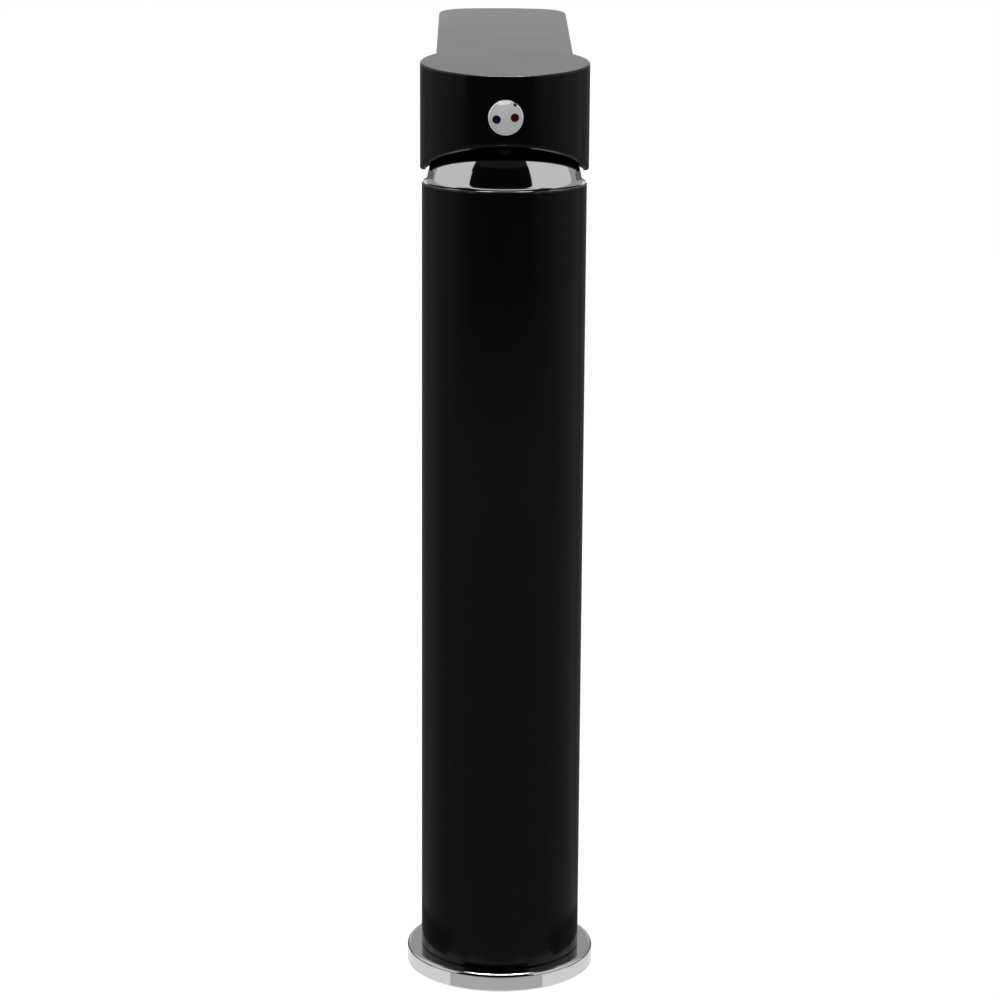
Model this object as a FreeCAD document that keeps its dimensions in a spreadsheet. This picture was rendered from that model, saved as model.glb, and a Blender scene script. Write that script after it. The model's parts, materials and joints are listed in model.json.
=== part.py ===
import FreeCAD, Part
import math
import os
import Sketcher
from types import SimpleNamespace

# Tall basin mixer, in millimetres.
# The origin is the middle of the foot's underside and +Z is up.
# +Y is the way the spout and the lever blade point.

os.makedirs("parts", exist_ok=True)
doc = FreeCAD.newDocument("tall_basin_mixer")

# Driving sizes. Each line is one cell: its name, its number and what it is.
SIZES = [
    ("body_top", 250.4, "rim of the tube above the counter, also the lever's pivot height"),
    ("body_wall", 2.5, "wall of the tube"),
    ("rim_break_width", 0.3, "edge break at the rim, sideways"),
    ("rim_break_depth", 0.4, "edge break at the rim, downwards"),
    ("foot_chamfer", 0.4, "edge break at the tube's foot"),
    ("ring_margin", 4.5, "foot ring beyond the tube"),
    ("ring_height", 5.8, "height of the foot ring"),
    ("ring_round", 1.1, "rounding of the ring's top edge"),
    ("ring_under_round", 0.3, "rounding of the ring's lower edge"),
    ("ring_rim", 3.0, "foot ring outside its recess"),
    ("ring_pocket_depth", 3.0, "depth of that recess"),
    ("fit_gap", 0.08, "radial gap of parts that are screwed or pushed together"),
    ("flange_gap", 0.2, "radial gap of the flange in the ring"),
    ("gasket_height", 1.0, "foot gasket as squeezed"),
    ("gasket_width", 6.3, "width of the foot gasket"),
    ("bridge_top", 17.0, "top of the foot block"),
    ("stud_hole_radius", 3.4, "tapped hole for an M8 stud"),
    ("stud_hole_back", 11.0, "stud hole behind the axis"),
    ("hose_way_radius", 7.0, "way through the foot block for one hose"),
    ("hose_across", 9.5, "hose axis to the side"),
    ("hose_forward", 3.5, "hose axis in front of the middle"),
    ("inlet_radius", 4.5, "tapped hole for an M10x1 hose tail"),
    ("inlet_depth", 12.0, "depth of the hose inlet"),
    ("seat_below_spout", 15.0, "valve block below the spout's middle"),
    ("collar_thread_wall", 2.0, "collar between the tube and its thread"),
    ("seat_lip", 1.5, "valve block between its two threads"),
    ("seat_neck_drop", 7.6, "foot of that thread below the rim"),
    ("seat_rise", 3.0, "valve block above the rim"),
    ("feed_radius", 3.0, "bore from inlet to cartridge"),
    ("feed_across", 7.5, "feed bore to the side"),
    ("mixed_radius", 3.5, "bore for the mixed water"),
    ("mixed_back", 7.5, "mixed water port behind the axis"),
    ("spout_drop", 45.4, "spout's middle below the rim"),
    ("spigot_radius", 9.0, "spout spigot in the valve block"),
    ("spigot_length", 10.1, "spigot inside the tube's bore"),
    ("spigot_hole_gap", 0.2, "play of the spigot in the tube's wall"),
    ("spigot_bore", 6.0, "water bore of the spigot"),
    ("spout_width", 36.0, "width of the spout"),
    ("spout_height", 18.0, "height of the spout"),
    ("tip_margin", 16.0, "spout beyond the middle of its outlet"),
    ("spout_corner", 9.0, "corners of the spout's end in plan"),
    ("spout_round", 2.5, "rounding along the spout's edges"),
    ("duct_width", 24.0, "water duct in the spout, across"),
    ("duct_height", 8.0, "water duct in the spout, upright"),
    ("duct_back", 11.0, "back end of the duct from the tube's outside"),
    ("duct_front", 3.0, "duct beyond the middle of the outlet"),
    ("outlet_reach", 130.0, "middle of the outlet from the axis"),
    ("outlet_radius", 9.3, "socket for the aerator"),
    ("outlet_depth", 10.5, "depth of the aerator socket"),
    ("aerator_lip", 0.5, "aerator below the spout"),
    ("aerator_wall", 1.5, "wall of the aerator's housing"),
    ("aerator_height", 9.0, "height of the aerator's housing"),
    ("insert_height", 6.0, "height of the flow straightener"),
    ("insert_hole", 0.75, "one hole of the flow straightener"),
    ("ring_pitch", 2.4, "step between rings of holes"),
    ("port_seal_wall", 1.6, "wall of a port seal"),
    ("port_seal_height", 1.2, "height of a port seal"),
    ("cartridge_radius", 17.5, "outside of the cartridge"),
    ("cartridge_gap", 0.1, "radial gap of the cartridge in its seat"),
    ("housing_wall", 2.4, "wall of the cartridge"),
    ("shoulder_drop", 2.0, "cartridge shoulder below the rim"),
    ("neck_step", 0.9, "neck inside the chamber's radius"),
    ("neck_wall", 2.7, "wall of the neck"),
    ("neck_rise", 7.0, "neck above the rim"),
    ("housing_roof", 2.0, "cartridge over its chamber"),
    ("base_height", 5.0, "height of the cartridge's base"),
    ("base_step", 3.0, "edge of the base under the housing"),
    ("fixed_disc_gap", 0.6, "free space round the fixed disc"),
    ("fixed_disc_height", 3.5, "thickness of the fixed disc"),
    ("moving_disc_gap", 2.5, "free space round the moving disc"),
    ("moving_disc_height", 3.0, "thickness of the moving disc"),
    ("mixing_wall", 2.1, "moving disc round its hollow"),
    ("mixing_depth", 2.0, "depth of that hollow"),
    ("mixing_land", 0.4, "land between hollow and feed ports when closed"),
    ("disc_gap", 0.02, "water film between the discs"),
    ("drive_floor", 1.1, "disc drive under the toe"),
    ("drive_plate", 3.0, "plate of the disc drive"),
    ("toe_cover", 1.8, "drive block above the middle of the toe"),
    ("drive_width", 16.0, "drive block across"),
    ("drive_length", 14.0, "drive block along the lever"),
    ("slide_gap", 0.06, "gap of sliding and turning faces"),
    ("toe_arm", 10.0, "pivot to the middle of the stem's toe"),
    ("toe_radius", 2.5, "rounded toe of the stem"),
    ("toe_width", 7.4, "toe across"),
    ("arm_depth", 3.6, "stem between pivot and toe, along the lever"),
    ("toe_floor", 0.4, "free height under the toe"),
    ("carrier_rise", 6.5, "top of the stem carrier above the rim"),
    ("carrier_slot", 12.0, "length of the carrier's slot"),
    ("stem_side", 8.0, "square of the stem"),
    ("stem_slot_gap", 0.1, "gap on each side of the stem"),
    ("stem_top", 27.0, "end of the stem above the pivot"),
    ("stem_foot", 3.0, "square part below the pivot"),
    ("stem_lean", 11.0, "forward lean of the closed stem, in degrees"),
    ("pin_radius", 1.5, "pivot pin"),
    ("pin_end_gap", 0.6, "free space at each end of the pin"),
    ("stop_width", 2.5, "width of the stop notch"),
    ("stop_height", 3.0, "height of the stop"),
    ("stop_rib", 12.0, "stop rib, in degrees"),
    ("stop_free", 103.0, "stop notch, in degrees"),
    ("carrier_ring_section", 0.65, "section radius of the carrier's O-ring"),
    ("carrier_ring_land", 0.6, "carrier between pin and O-ring"),
    ("nut_land", 1.4, "seat wall that the nut's thread reaches past the cartridge"),
    ("nut_bore_gap", 0.2, "nut round the cartridge's neck"),
    ("nut_hex_step", 0.6, "nut's hexagon inside its thread"),
    ("nut_head", 5.0, "height of that hexagon"),
    ("dome_step", 1.4, "ball shape of the collar inside the tube's outside"),
    ("dome_drop", 2.0, "middle of that ball shape below the rim"),
    ("dome_wall", 1.7, "wall of the collar"),
    ("dome_open_height", 15.0, "top opening of the collar above the rim"),
    ("flare_radius", 2.0, "hollow flare at the collar's foot"),
    ("flare_rise", 2.12, "middle of the flare's curve above the rim"),
    ("collar_spigot", 7.0, "threaded part of the collar in the tube"),
    ("collar_ring_section", 0.6, "section radius of the collar's O-ring"),
    ("collar_ring_drop", 3.5, "collar O-ring below the rim"),
    ("cap_overhang", 0.55, "lever's cap outside the tube"),
    ("cap_wall", 1.65, "skirt of the cap"),
    ("cap_top", 36.15, "lever's top above the rim, on the axis"),
    ("top_slope", 4.13, "rise of the lever's top, in degrees"),
    ("top_wall", 5.0, "thickness of the cap's top"),
    ("skirt_rise", 3.75, "skirt's level edge above the rim"),
    ("cut_start", 1.2, "start of the slanted cut behind the axis"),
    ("cut_slope", 22.8, "slanted cut, in degrees"),
    ("skirt_round", 1.0, "rounding of the skirt's lower edge"),
    ("top_round", 0.55, "rounding round the lever's top"),
    ("blade_width", 41.7, "width of the blade"),
    ("blade_tip", 106.0, "end of the blade from the axis"),
    ("blade_bow", 72.0, "radius of the bowed tip"),
    ("blade_corner", 9.5, "corners of the tip"),
    ("blade_thick", 7.0, "blade at the cap"),
    ("blade_taper", 1.8, "underside rises more than the top, in degrees"),
    ("blade_round", 0.8, "rounding of the blade's lower edges"),
    ("hub_radius", 8.0, "hub round the stem"),
    ("hub_start", 10.0, "lower end of the hub above the pivot"),
    ("hub_gap", 0.05, "gap of the stem in the hub"),
    ("screw_radius", 2.5, "lock screw"),
    ("screw_length", 5.0, "length of the lock screw"),
    ("plug_height", 22.2, "middle of the plug above the rim"),
    ("plug_radius", 5.2, "colour plug"),
    ("plug_depth", 3.25, "depth of the plug's recess"),
    ("plug_proud", 0.4, "domed plug outside the cap"),
    ("plug_ball", 25.0, "radius of the plug's domed face"),
    ("facet_drop", 2.0, "pry facet below the plug's top, at the front"),
    ("facet_slope", 66.0, "slope of that facet, in degrees"),
    ("notch_radius", 0.6, "pry notch in the plug's edge"),
    ("notch_across", 2.95, "pry notch to the side"),
    ("notch_up", 4.1, "pry notch above the plug's middle"),
    ("boss_radius", 7.2, "boss behind the plug"),
    ("boss_depth", 5.25, "inner end of that boss inside the cap's outside"),
    ("key_radius", 3.2, "way for the key behind the plug"),
    ("mark_radius", 1.25, "one colour dot"),
    ("mark_across", 2.7, "dot from the plug's middle"),
    ("mark_drop", 0.2, "dots below the plug's middle"),
    ("mark_roll", 5.8, "turn of the two dots, in degrees"),
    ("mark_depth", 1.25, "bottom of a dot behind the plug's front"),
    ("mark_sunk", 0.29, "face of a dot behind the plug's front"),
    ("lock_screw_radius", 2.0, "screw that holds the spout"),
    ("lock_screw_length", 6.0, "length of that screw"),
    ("lock_screw_bite", 1.0, "groove in the spigot for that screw"),
    ("spout_ring_section", 1.0, "section radius of a spout O-ring"),
    ("spout_ring_first", 8.6, "first spout O-ring inside the tube's bore"),
    ("spout_ring_second", 1.5, "second spout O-ring inside the tube's bore"),
]

sheet = doc.addObject("Spreadsheet::Sheet", "dims")
for row, (word, number, note) in enumerate(SIZES, start=1):
    sheet.set("A%d" % row, note)
    sheet.set("B%d" % row, str(number))
    sheet.setAlias("B%d" % row, word)
doc.recompute()


# A length that knows both its number and the words that bind it to the sheet.
class Size:
    def __init__(self, number, text):
        self.number = number
        self.text = text

    def __add__(self, other):
        other = as_size(other)
        return Size(self.number + other.number, "(%s + %s)" % (self.text, other.text))

    def __sub__(self, other):
        other = as_size(other)
        return Size(self.number - other.number, "(%s - %s)" % (self.text, other.text))

    def __mul__(self, other):
        other = as_size(other)
        return Size(self.number * other.number, "(%s * %s)" % (self.text, other.text))

    def __truediv__(self, other):
        other = as_size(other)
        return Size(self.number / other.number, "(%s / %s)" % (self.text, other.text))

    def __radd__(self, other):
        return as_size(other) + self

    def __rsub__(self, other):
        return as_size(other) - self

    def __rmul__(self, other):
        return as_size(other) * self

    def __neg__(self):
        return Size(-self.number, "(0 - %s)" % self.text)


def as_size(value):
    if isinstance(value, Size):
        return value
    return Size(float(value), "%.6g" % value)


def sine(angle):
    return Size(math.sin(math.radians(angle.number)), "sin(%s * 1 deg)" % angle.text)


def cosine(angle):
    return Size(math.cos(math.radians(angle.number)), "cos(%s * 1 deg)" % angle.text)


def tangent(angle):
    return Size(math.tan(math.radians(angle.number)), "tan(%s * 1 deg)" % angle.text)


def root(square):
    return Size(math.sqrt(square.number), "sqrt(%s)" % square.text)


d = SimpleNamespace(**{word: Size(number, "dims." + word) for word, number, note in SIZES})

X_AXIS = FreeCAD.Vector(1, 0, 0)
Y_AXIS = FreeCAD.Vector(0, 1, 0)
Z_AXIS = FreeCAD.Vector(0, 0, 1)
TURNS = {
    "z": FreeCAD.Rotation(Z_AXIS, 0),
    "x": FreeCAD.Rotation(Y_AXIS, 90),
    "y": FreeCAD.Rotation(X_AXIS, -90),
}
PLANES = {
    "XY": FreeCAD.Rotation(Z_AXIS, 0),
    "XZ": FreeCAD.Rotation(X_AXIS, 90),
    "YZ": FreeCAD.Rotation(FreeCAD.Vector(1, 1, 1), 120),
}
nodes = {}


# Binding and placing

def bind(thing, prop, size):
    thing.setExpression(prop, as_size(size).text)


def move(thing, x=0, y=0, z=0):
    bind(thing, "Placement.Base.x", x)
    bind(thing, "Placement.Base.y", y)
    bind(thing, "Placement.Base.z", z)


def keep(label, thing):
    thing.Label = label
    nodes[label] = thing


# Simple solids

def cylinder(name, radius, length, x=0, y=0, z=0, along="z"):
    thing = doc.addObject("Part::Cylinder", name)
    bind(thing, "Radius", radius)
    bind(thing, "Height", length)
    thing.Placement = FreeCAD.Placement(FreeCAD.Vector(), TURNS[along])
    move(thing, x, y, z)
    return thing


def block(name, width, depth, height, x=0, y=0, z=0):
    # x and y are the block's middle, z is its underside.
    thing = doc.addObject("Part::Box", name)
    bind(thing, "Length", width)
    bind(thing, "Width", depth)
    bind(thing, "Height", height)
    move(thing, as_size(x) - as_size(width) / 2, as_size(y) - as_size(depth) / 2, z)
    return thing


def torus(name, ring, section, x=0, y=0, z=0, along="z"):
    thing = doc.addObject("Part::Torus", name)
    bind(thing, "Radius1", ring)
    bind(thing, "Radius2", section)
    thing.Placement = FreeCAD.Placement(FreeCAD.Vector(), TURNS[along])
    move(thing, x, y, z)
    return thing


def ball(name, radius, x=0, y=0, z=0):
    thing = doc.addObject("Part::Sphere", name)
    bind(thing, "Radius", radius)
    move(thing, x, y, z)
    return thing


def sector(name, radius, height, degrees, z):
    # A slice of a disc, its middle behind the axis.
    thing = doc.addObject("Part::Cylinder", name)
    bind(thing, "Radius", radius)
    bind(thing, "Height", height)
    bind(thing, "Angle", degrees)
    thing.Placement = FreeCAD.Placement(FreeCAD.Vector(), FreeCAD.Rotation(Z_AXIS, 1))
    bind(thing, "Placement.Rotation.Angle", 270 - as_size(degrees) / 2)
    move(thing, 0, 0, z)
    return thing


# Joining and cutting

def fuse(name, things):
    thing = doc.addObject("Part::MultiFuse", name)
    thing.Shapes = things
    thing.Refine = True
    return thing


def common(name, things):
    thing = doc.addObject("Part::MultiCommon", name)
    thing.Shapes = things
    thing.Refine = True
    return thing


def cut(name, base, tools):
    tool = tools[0]
    if len(tools) > 1:
        tool = fuse(name + "_tools", tools)
    thing = doc.addObject("Part::Cut", name)
    thing.Base = base
    thing.Tool = tool
    thing.Refine = True
    return thing


def tube(name, outer, inner, length, x=0, y=0, z=0, along="z"):
    solid = cylinder(name + "_outside", outer, length, x, y, z, along)
    hole = cylinder(name + "_inside", inner, length, x, y, z, along)
    return cut(name, solid, [hole])


# Sketches: closed outlines whose corners are all tied to the sheet

def tie(sketch, index, kind, size):
    size = as_size(size)
    if abs(size.number) < 1e-9:
        axis = -2 if kind == "DistanceX" else -1
        sketch.addConstraint(Sketcher.Constraint("PointOnObject", index, 1, axis))
        return
    if size.number < 0:
        size = -size
        rule = Sketcher.Constraint(kind, index, 1, -1, 1, size.number)
    else:
        rule = Sketcher.Constraint(kind, -1, 1, index, 1, size.number)
    place = sketch.addConstraint(rule)
    sketch.setExpression("Constraints[%d]" % place, size.text)


def outline(sketch, corners):
    corners = [(as_size(across), as_size(up)) for across, up in corners]
    points = [FreeCAD.Vector(across.number, up.number, 0) for across, up in corners]
    for index, point in enumerate(points):
        after = points[(index + 1) % len(points)]
        sketch.addGeometry(Part.LineSegment(point, after), False)
    for index in range(len(points)):
        after = (index + 1) % len(points)
        sketch.addConstraint(Sketcher.Constraint("Coincident", index, 2, after, 1))
    for index, (across, up) in enumerate(corners):
        tie(sketch, index, "DistanceX", across)
        tie(sketch, index, "DistanceY", up)


def circles(sketch, rounds):
    for index, (across, up, radius) in enumerate(rounds):
        across = as_size(across)
        up = as_size(up)
        middle = FreeCAD.Vector(across.number, up.number, 0)
        sketch.addGeometry(Part.Circle(middle, Z_AXIS, radius.number), False)
        place = sketch.addConstraint(Sketcher.Constraint("Radius", index, radius.number))
        sketch.setExpression("Constraints[%d]" % place, radius.text)
        for kind, size in (("DistanceX", across), ("DistanceY", up)):
            if abs(size.number) < 1e-9:
                axis = -2 if kind == "DistanceX" else -1
                sketch.addConstraint(Sketcher.Constraint("PointOnObject", index, 3, axis))
                continue
            if size.number < 0:
                size = -size
                rule = Sketcher.Constraint(kind, index, 3, -1, 1, size.number)
            else:
                rule = Sketcher.Constraint(kind, -1, 1, index, 3, size.number)
            place = sketch.addConstraint(rule)
            sketch.setExpression("Constraints[%d]" % place, size.text)


def prism(name, plane, corners, length):
    # An outline in one plane, given thickness to both sides of it.
    sketch = doc.addObject("Sketcher::SketchObject", name + "_sketch")
    sketch.Placement = FreeCAD.Placement(FreeCAD.Vector(), PLANES[plane])
    outline(sketch, corners)
    thing = doc.addObject("Part::Extrusion", name)
    thing.Base = sketch
    thing.DirMode = "Normal"
    thing.Solid = True
    thing.Symmetric = True
    bind(thing, "LengthFwd", length)
    return thing


def body_with(label):
    body = doc.addObject("PartDesign::Body", label)
    keep(label, body)
    return body


def body_sketch(body, name, plane):
    sketch = body.newObject("Sketcher::SketchObject", name)
    for feature in body.Origin.OriginFeatures:
        if feature.Role == plane + "_Plane":
            sketch.AttachmentSupport = [(feature, "")]
    sketch.MapMode = "FlatFace"
    return sketch


def turned(body, name, corners):
    # A profile in the XZ plane, turned once round the Z axis.
    sketch = body_sketch(body, name + "_sketch", "XZ")
    outline(sketch, corners)
    thing = body.newObject("PartDesign::Revolution", name)
    thing.Profile = sketch
    thing.ReferenceAxis = (sketch, ["V_Axis"])
    thing.Angle = 360
    return thing


def pocket_through(body, name, sketch):
    thing = body.newObject("PartDesign::Pocket", name)
    thing.Profile = sketch
    thing.Type = "ThroughAll"
    thing.Midplane = True
    return thing


def round_edges(body, name, base, names, size):
    thing = body.newObject("PartDesign::Fillet", name)
    thing.Base = (base, names)
    bind(thing, "Radius", size)
    return thing


def circle_edges(shape, radius, z):
    found = []
    for index, edge in enumerate(shape.Edges, start=1):
        if not isinstance(edge.Curve, Part.Circle):
            continue
        middle = edge.Curve.Center
        if abs(edge.Curve.Radius - radius) < 1e-4 and abs(middle.z - z) < 1e-4:
            found.append("Edge%d" % index)
    return found


def rounded(name, base, picks):
    # Rounds each edge of a plain solid that one of the picks accepts.
    doc.recompute()
    rows = []
    for index, edge in enumerate(base.Shape.Edges, start=1):
        for accepts, size in picks:
            if accepts(edge):
                rows.append((index, size.number, size.number))
                break
    thing = doc.addObject("Part::Fillet", name)
    thing.Base = base
    thing.Edges = rows
    return thing


# Radii, from the cartridge outwards
cup_radius = d.cartridge_radius + d.cartridge_gap
nut_thread_radius = cup_radius + d.nut_land
seat_neck_radius = nut_thread_radius + d.seat_lip
bore = seat_neck_radius + d.collar_thread_wall
body_radius = bore + d.body_wall
ring_radius = body_radius + d.ring_margin
ring_pocket_radius = ring_radius - d.ring_rim
dome_radius = body_radius - d.dome_step
cap_radius = body_radius + d.cap_overhang
plug_front = cap_radius + d.plug_proud
plug_seat = cap_radius - d.plug_depth

# Radii, from the cartridge inwards
chamber_radius = d.cartridge_radius - d.housing_wall
neck_radius = chamber_radius - d.neck_step
neck_bore = neck_radius - d.neck_wall
pin_half = neck_bore - d.pin_end_gap
moving_disc_radius = chamber_radius - d.moving_disc_gap
mixing_radius = moving_disc_radius - d.mixing_wall
stop_bottom = chamber_radius - d.stop_width

# Heights that several pieces share
rim = d.body_top
spout_level = rim - d.spout_drop
seat_bottom = spout_level - d.seat_below_spout
drive_drop = d.toe_arm + d.toe_radius + d.toe_floor + d.drive_floor
drive_top_drop = d.toe_arm - d.toe_cover
drive_under = rim - drive_drop
moving_under = drive_under - d.moving_disc_height
fixed_top = moving_under - d.disc_gap
fixed_under = fixed_top - d.fixed_disc_height
base_under = fixed_under - d.base_height
housing_under = base_under + d.base_step
toe_back = d.toe_arm * sine(d.stem_lean)

# Foot: the tube stands on the ring, and the foot block screws up into the tube
shell = body_with("body_shell")
turned(shell, "shell_tube", [
    (bore, d.ring_height),
    (body_radius - d.foot_chamfer, d.ring_height),
    (body_radius, d.ring_height + d.foot_chamfer),
    (body_radius, rim - d.rim_break_depth),
    (body_radius - d.rim_break_width, rim),
    (bore, rim),
])
spout_hole = body_sketch(shell, "shell_spout_hole_sketch", "XZ")
circles(spout_hole, [(0, spout_level, d.spigot_radius + d.spigot_hole_gap)])
spout_pocket = shell.newObject("PartDesign::Pocket", "shell_spout_hole")
spout_pocket.Profile = spout_hole
spout_pocket.Type = "Length"
bind(spout_pocket, "Length", body_radius + d.body_wall)
shell.Tip = spout_pocket
doc.recompute()
if shell.Shape.isInside(FreeCAD.Vector(0, -bore.number - 1, spout_level.number), 1e-6, True) is False:
    spout_pocket.Reversed = True
    doc.recompute()

ring = body_with("base_ring")
ring_blank = turned(ring, "ring_blank", [
    (ring_pocket_radius, 0),
    (ring_radius, 0),
    (ring_radius, d.ring_height),
    (bore + d.fit_gap, d.ring_height),
    (bore + d.fit_gap, d.ring_pocket_depth),
    (ring_pocket_radius, d.ring_pocket_depth),
])
doc.recompute()
ring_top = circle_edges(ring_blank.Shape, ring_radius.number, d.ring_height.number)
ring_soft = round_edges(ring, "ring_top_round", ring_blank, ring_top, d.ring_round)
doc.recompute()
ring_low = circle_edges(ring_soft.Shape, ring_radius.number, 0)
ring.Tip = round_edges(ring, "ring_low_round", ring_soft, ring_low, d.ring_under_round)

bridge = body_with("base_bridge")
turned(bridge, "bridge_blank", [
    (0, d.gasket_height),
    (ring_pocket_radius - d.flange_gap, d.gasket_height),
    (ring_pocket_radius - d.flange_gap, d.ring_pocket_depth),
    (bore - d.fit_gap, d.ring_pocket_depth),
    (bore - d.fit_gap, d.bridge_top),
    (0, d.bridge_top),
])
ways = body_sketch(bridge, "bridge_ways_sketch", "XY")
circles(ways, [
    (-d.hose_across, d.hose_forward, d.hose_way_radius),
    (d.hose_across, d.hose_forward, d.hose_way_radius),
    (0, -d.stud_hole_back, d.stud_hole_radius),
])
bridge.Tip = pocket_through(bridge, "bridge_ways", ways)

flange_radius = ring_pocket_radius - d.flange_gap
keep("base_gasket", tube(
    "gasket", flange_radius, flange_radius - d.gasket_width, d.gasket_height))

# Valve block: inlets below, the cartridge's cup above, the spout's socket in front
spigot_start = bore - d.spigot_length
lock_screw_forward = bore - (d.spout_ring_first + d.spout_ring_second) / 2
seat_blank = fuse("seat_blank", [
    cylinder("seat_block", bore - d.fit_gap, rim - d.seat_neck_drop - seat_bottom,
             z=seat_bottom),
    cylinder("seat_neck", seat_neck_radius, rim + d.seat_rise - seat_bottom,
             z=seat_bottom),
])
seat_holes = [
    cylinder("seat_cup", cup_radius, drive_drop * 3, z=base_under),
    cylinder("seat_thread", nut_thread_radius, drive_drop, z=rim - d.shoulder_drop),
    cylinder("seat_mixed_down", d.mixed_radius, base_under - spout_level + 1,
             y=-d.mixed_back, z=spout_level),
    cylinder("seat_mixed_out", d.mixed_radius, d.mixed_back + spigot_start + 1,
             y=-d.mixed_back, z=spout_level, along="y"),
    ball("seat_mixed_bend", d.mixed_radius, y=-d.mixed_back, z=spout_level),
    cylinder("seat_socket", d.spigot_radius + d.fit_gap, body_radius,
             y=spigot_start, z=spout_level, along="y"),
    cylinder("seat_lock_thread", d.lock_screw_radius,
             spout_level - d.spigot_radius - seat_bottom + 1,
             y=lock_screw_forward, z=seat_bottom),
]
for side, name in ((-1, "cold"), (1, "hot")):
    seat_holes.append(cylinder(
        "seat_%s_inlet" % name, d.inlet_radius, d.inlet_depth,
        x=side * d.hose_across, y=d.hose_forward, z=seat_bottom))
    seat_holes.append(cylinder(
        "seat_%s_feed" % name, d.feed_radius,
        base_under - seat_bottom - d.inlet_depth + 2,
        x=side * d.feed_across, y=d.hose_forward, z=seat_bottom + d.inlet_depth - 1))
keep("cartridge_seat", cut("seat", seat_blank, seat_holes))

# Spout: a flat bar with a spigot, a duct and the aerator's socket
spout_tip = d.outlet_reach + d.tip_margin
duct_start = body_radius + d.duct_back
duct_end = d.outlet_reach + d.duct_front
spout_bar = block("spout_bar", d.spout_width, spout_tip - bore, d.spout_height,
                  y=(spout_tip + bore) / 2, z=spout_level - d.spout_height / 2)


def upright_tip_edge(edge):
    box = edge.BoundBox
    return box.ZLength > 5 and box.YMin > d.outlet_reach.number


spout_corners = rounded("spout_corners", spout_bar, [(upright_tip_edge, d.spout_corner)])


def level_spout_edge(edge):
    box = edge.BoundBox
    return box.ZLength < 1e-6 and box.YMax > bore.number + 1


spout_soft = rounded("spout_soft", spout_corners, [(level_spout_edge, d.spout_round)])
spout_trimmed = cut("spout_trimmed", spout_soft, [
    cylinder("spout_root_cut", body_radius, d.spout_height * 2,
             z=spout_level - d.spout_height)])
spout_whole = fuse("spout_whole", [
    spout_trimmed,
    cylinder("spout_spigot", d.spigot_radius, duct_start - spigot_start,
             y=spigot_start, z=spout_level, along="y")])
keep("spout", cut("spout_cut", spout_whole, [
    cylinder("spout_bore", d.spigot_bore, duct_start - spigot_start + 2,
             y=spigot_start - 1, z=spout_level, along="y"),
    block("spout_duct", d.duct_width, duct_end - duct_start, d.duct_height,
          y=(duct_end + duct_start) / 2, z=spout_level - d.duct_height / 2),
    cylinder("spout_socket", d.outlet_radius, d.outlet_depth + 1, y=d.outlet_reach,
             z=spout_level - d.spout_height / 2 - 1),
    tube("spout_lock_groove", d.spigot_radius + 1, d.spigot_radius - d.lock_screw_bite,
         d.lock_screw_radius * 2 + 0.4, y=lock_screw_forward - d.lock_screw_radius - 0.2,
         z=spout_level, along="y"),
    torus("spout_groove_one", d.spigot_radius - d.spout_ring_section + d.fit_gap,
          d.spout_ring_section, y=bore - d.spout_ring_first, z=spout_level, along="y"),
    torus("spout_groove_two", d.spigot_radius - d.spout_ring_section + d.fit_gap,
          d.spout_ring_section, y=bore - d.spout_ring_second, z=spout_level, along="y"),
]))
keep("spout_o_rings", fuse("spout_rings", [
    torus("spout_ring_one", d.spigot_radius - d.spout_ring_section + d.fit_gap,
          d.spout_ring_section, y=bore - d.spout_ring_first, z=spout_level, along="y"),
    torus("spout_ring_two", d.spigot_radius - d.spout_ring_section + d.fit_gap,
          d.spout_ring_section, y=bore - d.spout_ring_second, z=spout_level, along="y"),
]))
lock_screw_top = spout_level - d.spigot_radius + d.lock_screw_bite
lock_screw = cylinder("lock_screw_blank", d.lock_screw_radius, d.lock_screw_length,
                      y=lock_screw_forward, z=lock_screw_top - d.lock_screw_length)
lock_socket = doc.addObject("Part::Prism", "lock_screw_socket")
lock_socket.Polygon = 6
bind(lock_socket, "Circumradius", d.lock_screw_radius * 0.577)
bind(lock_socket, "Height", d.lock_screw_length / 2)
move(lock_socket, 0, lock_screw_forward, lock_screw_top - d.lock_screw_length)
keep("spout_lock_screw", cut("lock_screw", lock_screw, [lock_socket]))

# Aerator: a threaded ring, the flow straightener inside it and a flat washer above
spout_under = spout_level - d.spout_height / 2
aerator_under = spout_under - d.aerator_lip
aerator_radius = d.outlet_radius - d.fit_gap
aerator_inside = aerator_radius - d.aerator_wall
keep("aerator_housing", cut(
    "aerator_shell",
    cylinder("aerator_blank", aerator_radius, d.aerator_height,
             y=d.outlet_reach, z=aerator_under),
    [cylinder("aerator_mouth", aerator_inside - d.aerator_wall / 2, d.aerator_height,
              y=d.outlet_reach, z=aerator_under),
     cylinder("aerator_seat", aerator_inside, d.aerator_height,
              y=d.outlet_reach, z=aerator_under + d.aerator_wall)]))
insert = body_with("aerator_insert")
insert.Placement = FreeCAD.Placement()
move(insert, 0, d.outlet_reach, aerator_under + d.aerator_wall)
insert_sketch = body_sketch(insert, "insert_sketch", "XY")
circles(insert_sketch, [(0, 0, aerator_inside - d.fit_gap)])
insert_pad = insert.newObject("PartDesign::Pad", "insert_pad")
insert_pad.Profile = insert_sketch
bind(insert_pad, "Length", d.insert_height)
centre_sketch = body_sketch(insert, "insert_centre_sketch", "XY")
circles(centre_sketch, [(0, 0, d.insert_hole)])
insert.Tip = pocket_through(insert, "insert_centre", centre_sketch)
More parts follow.
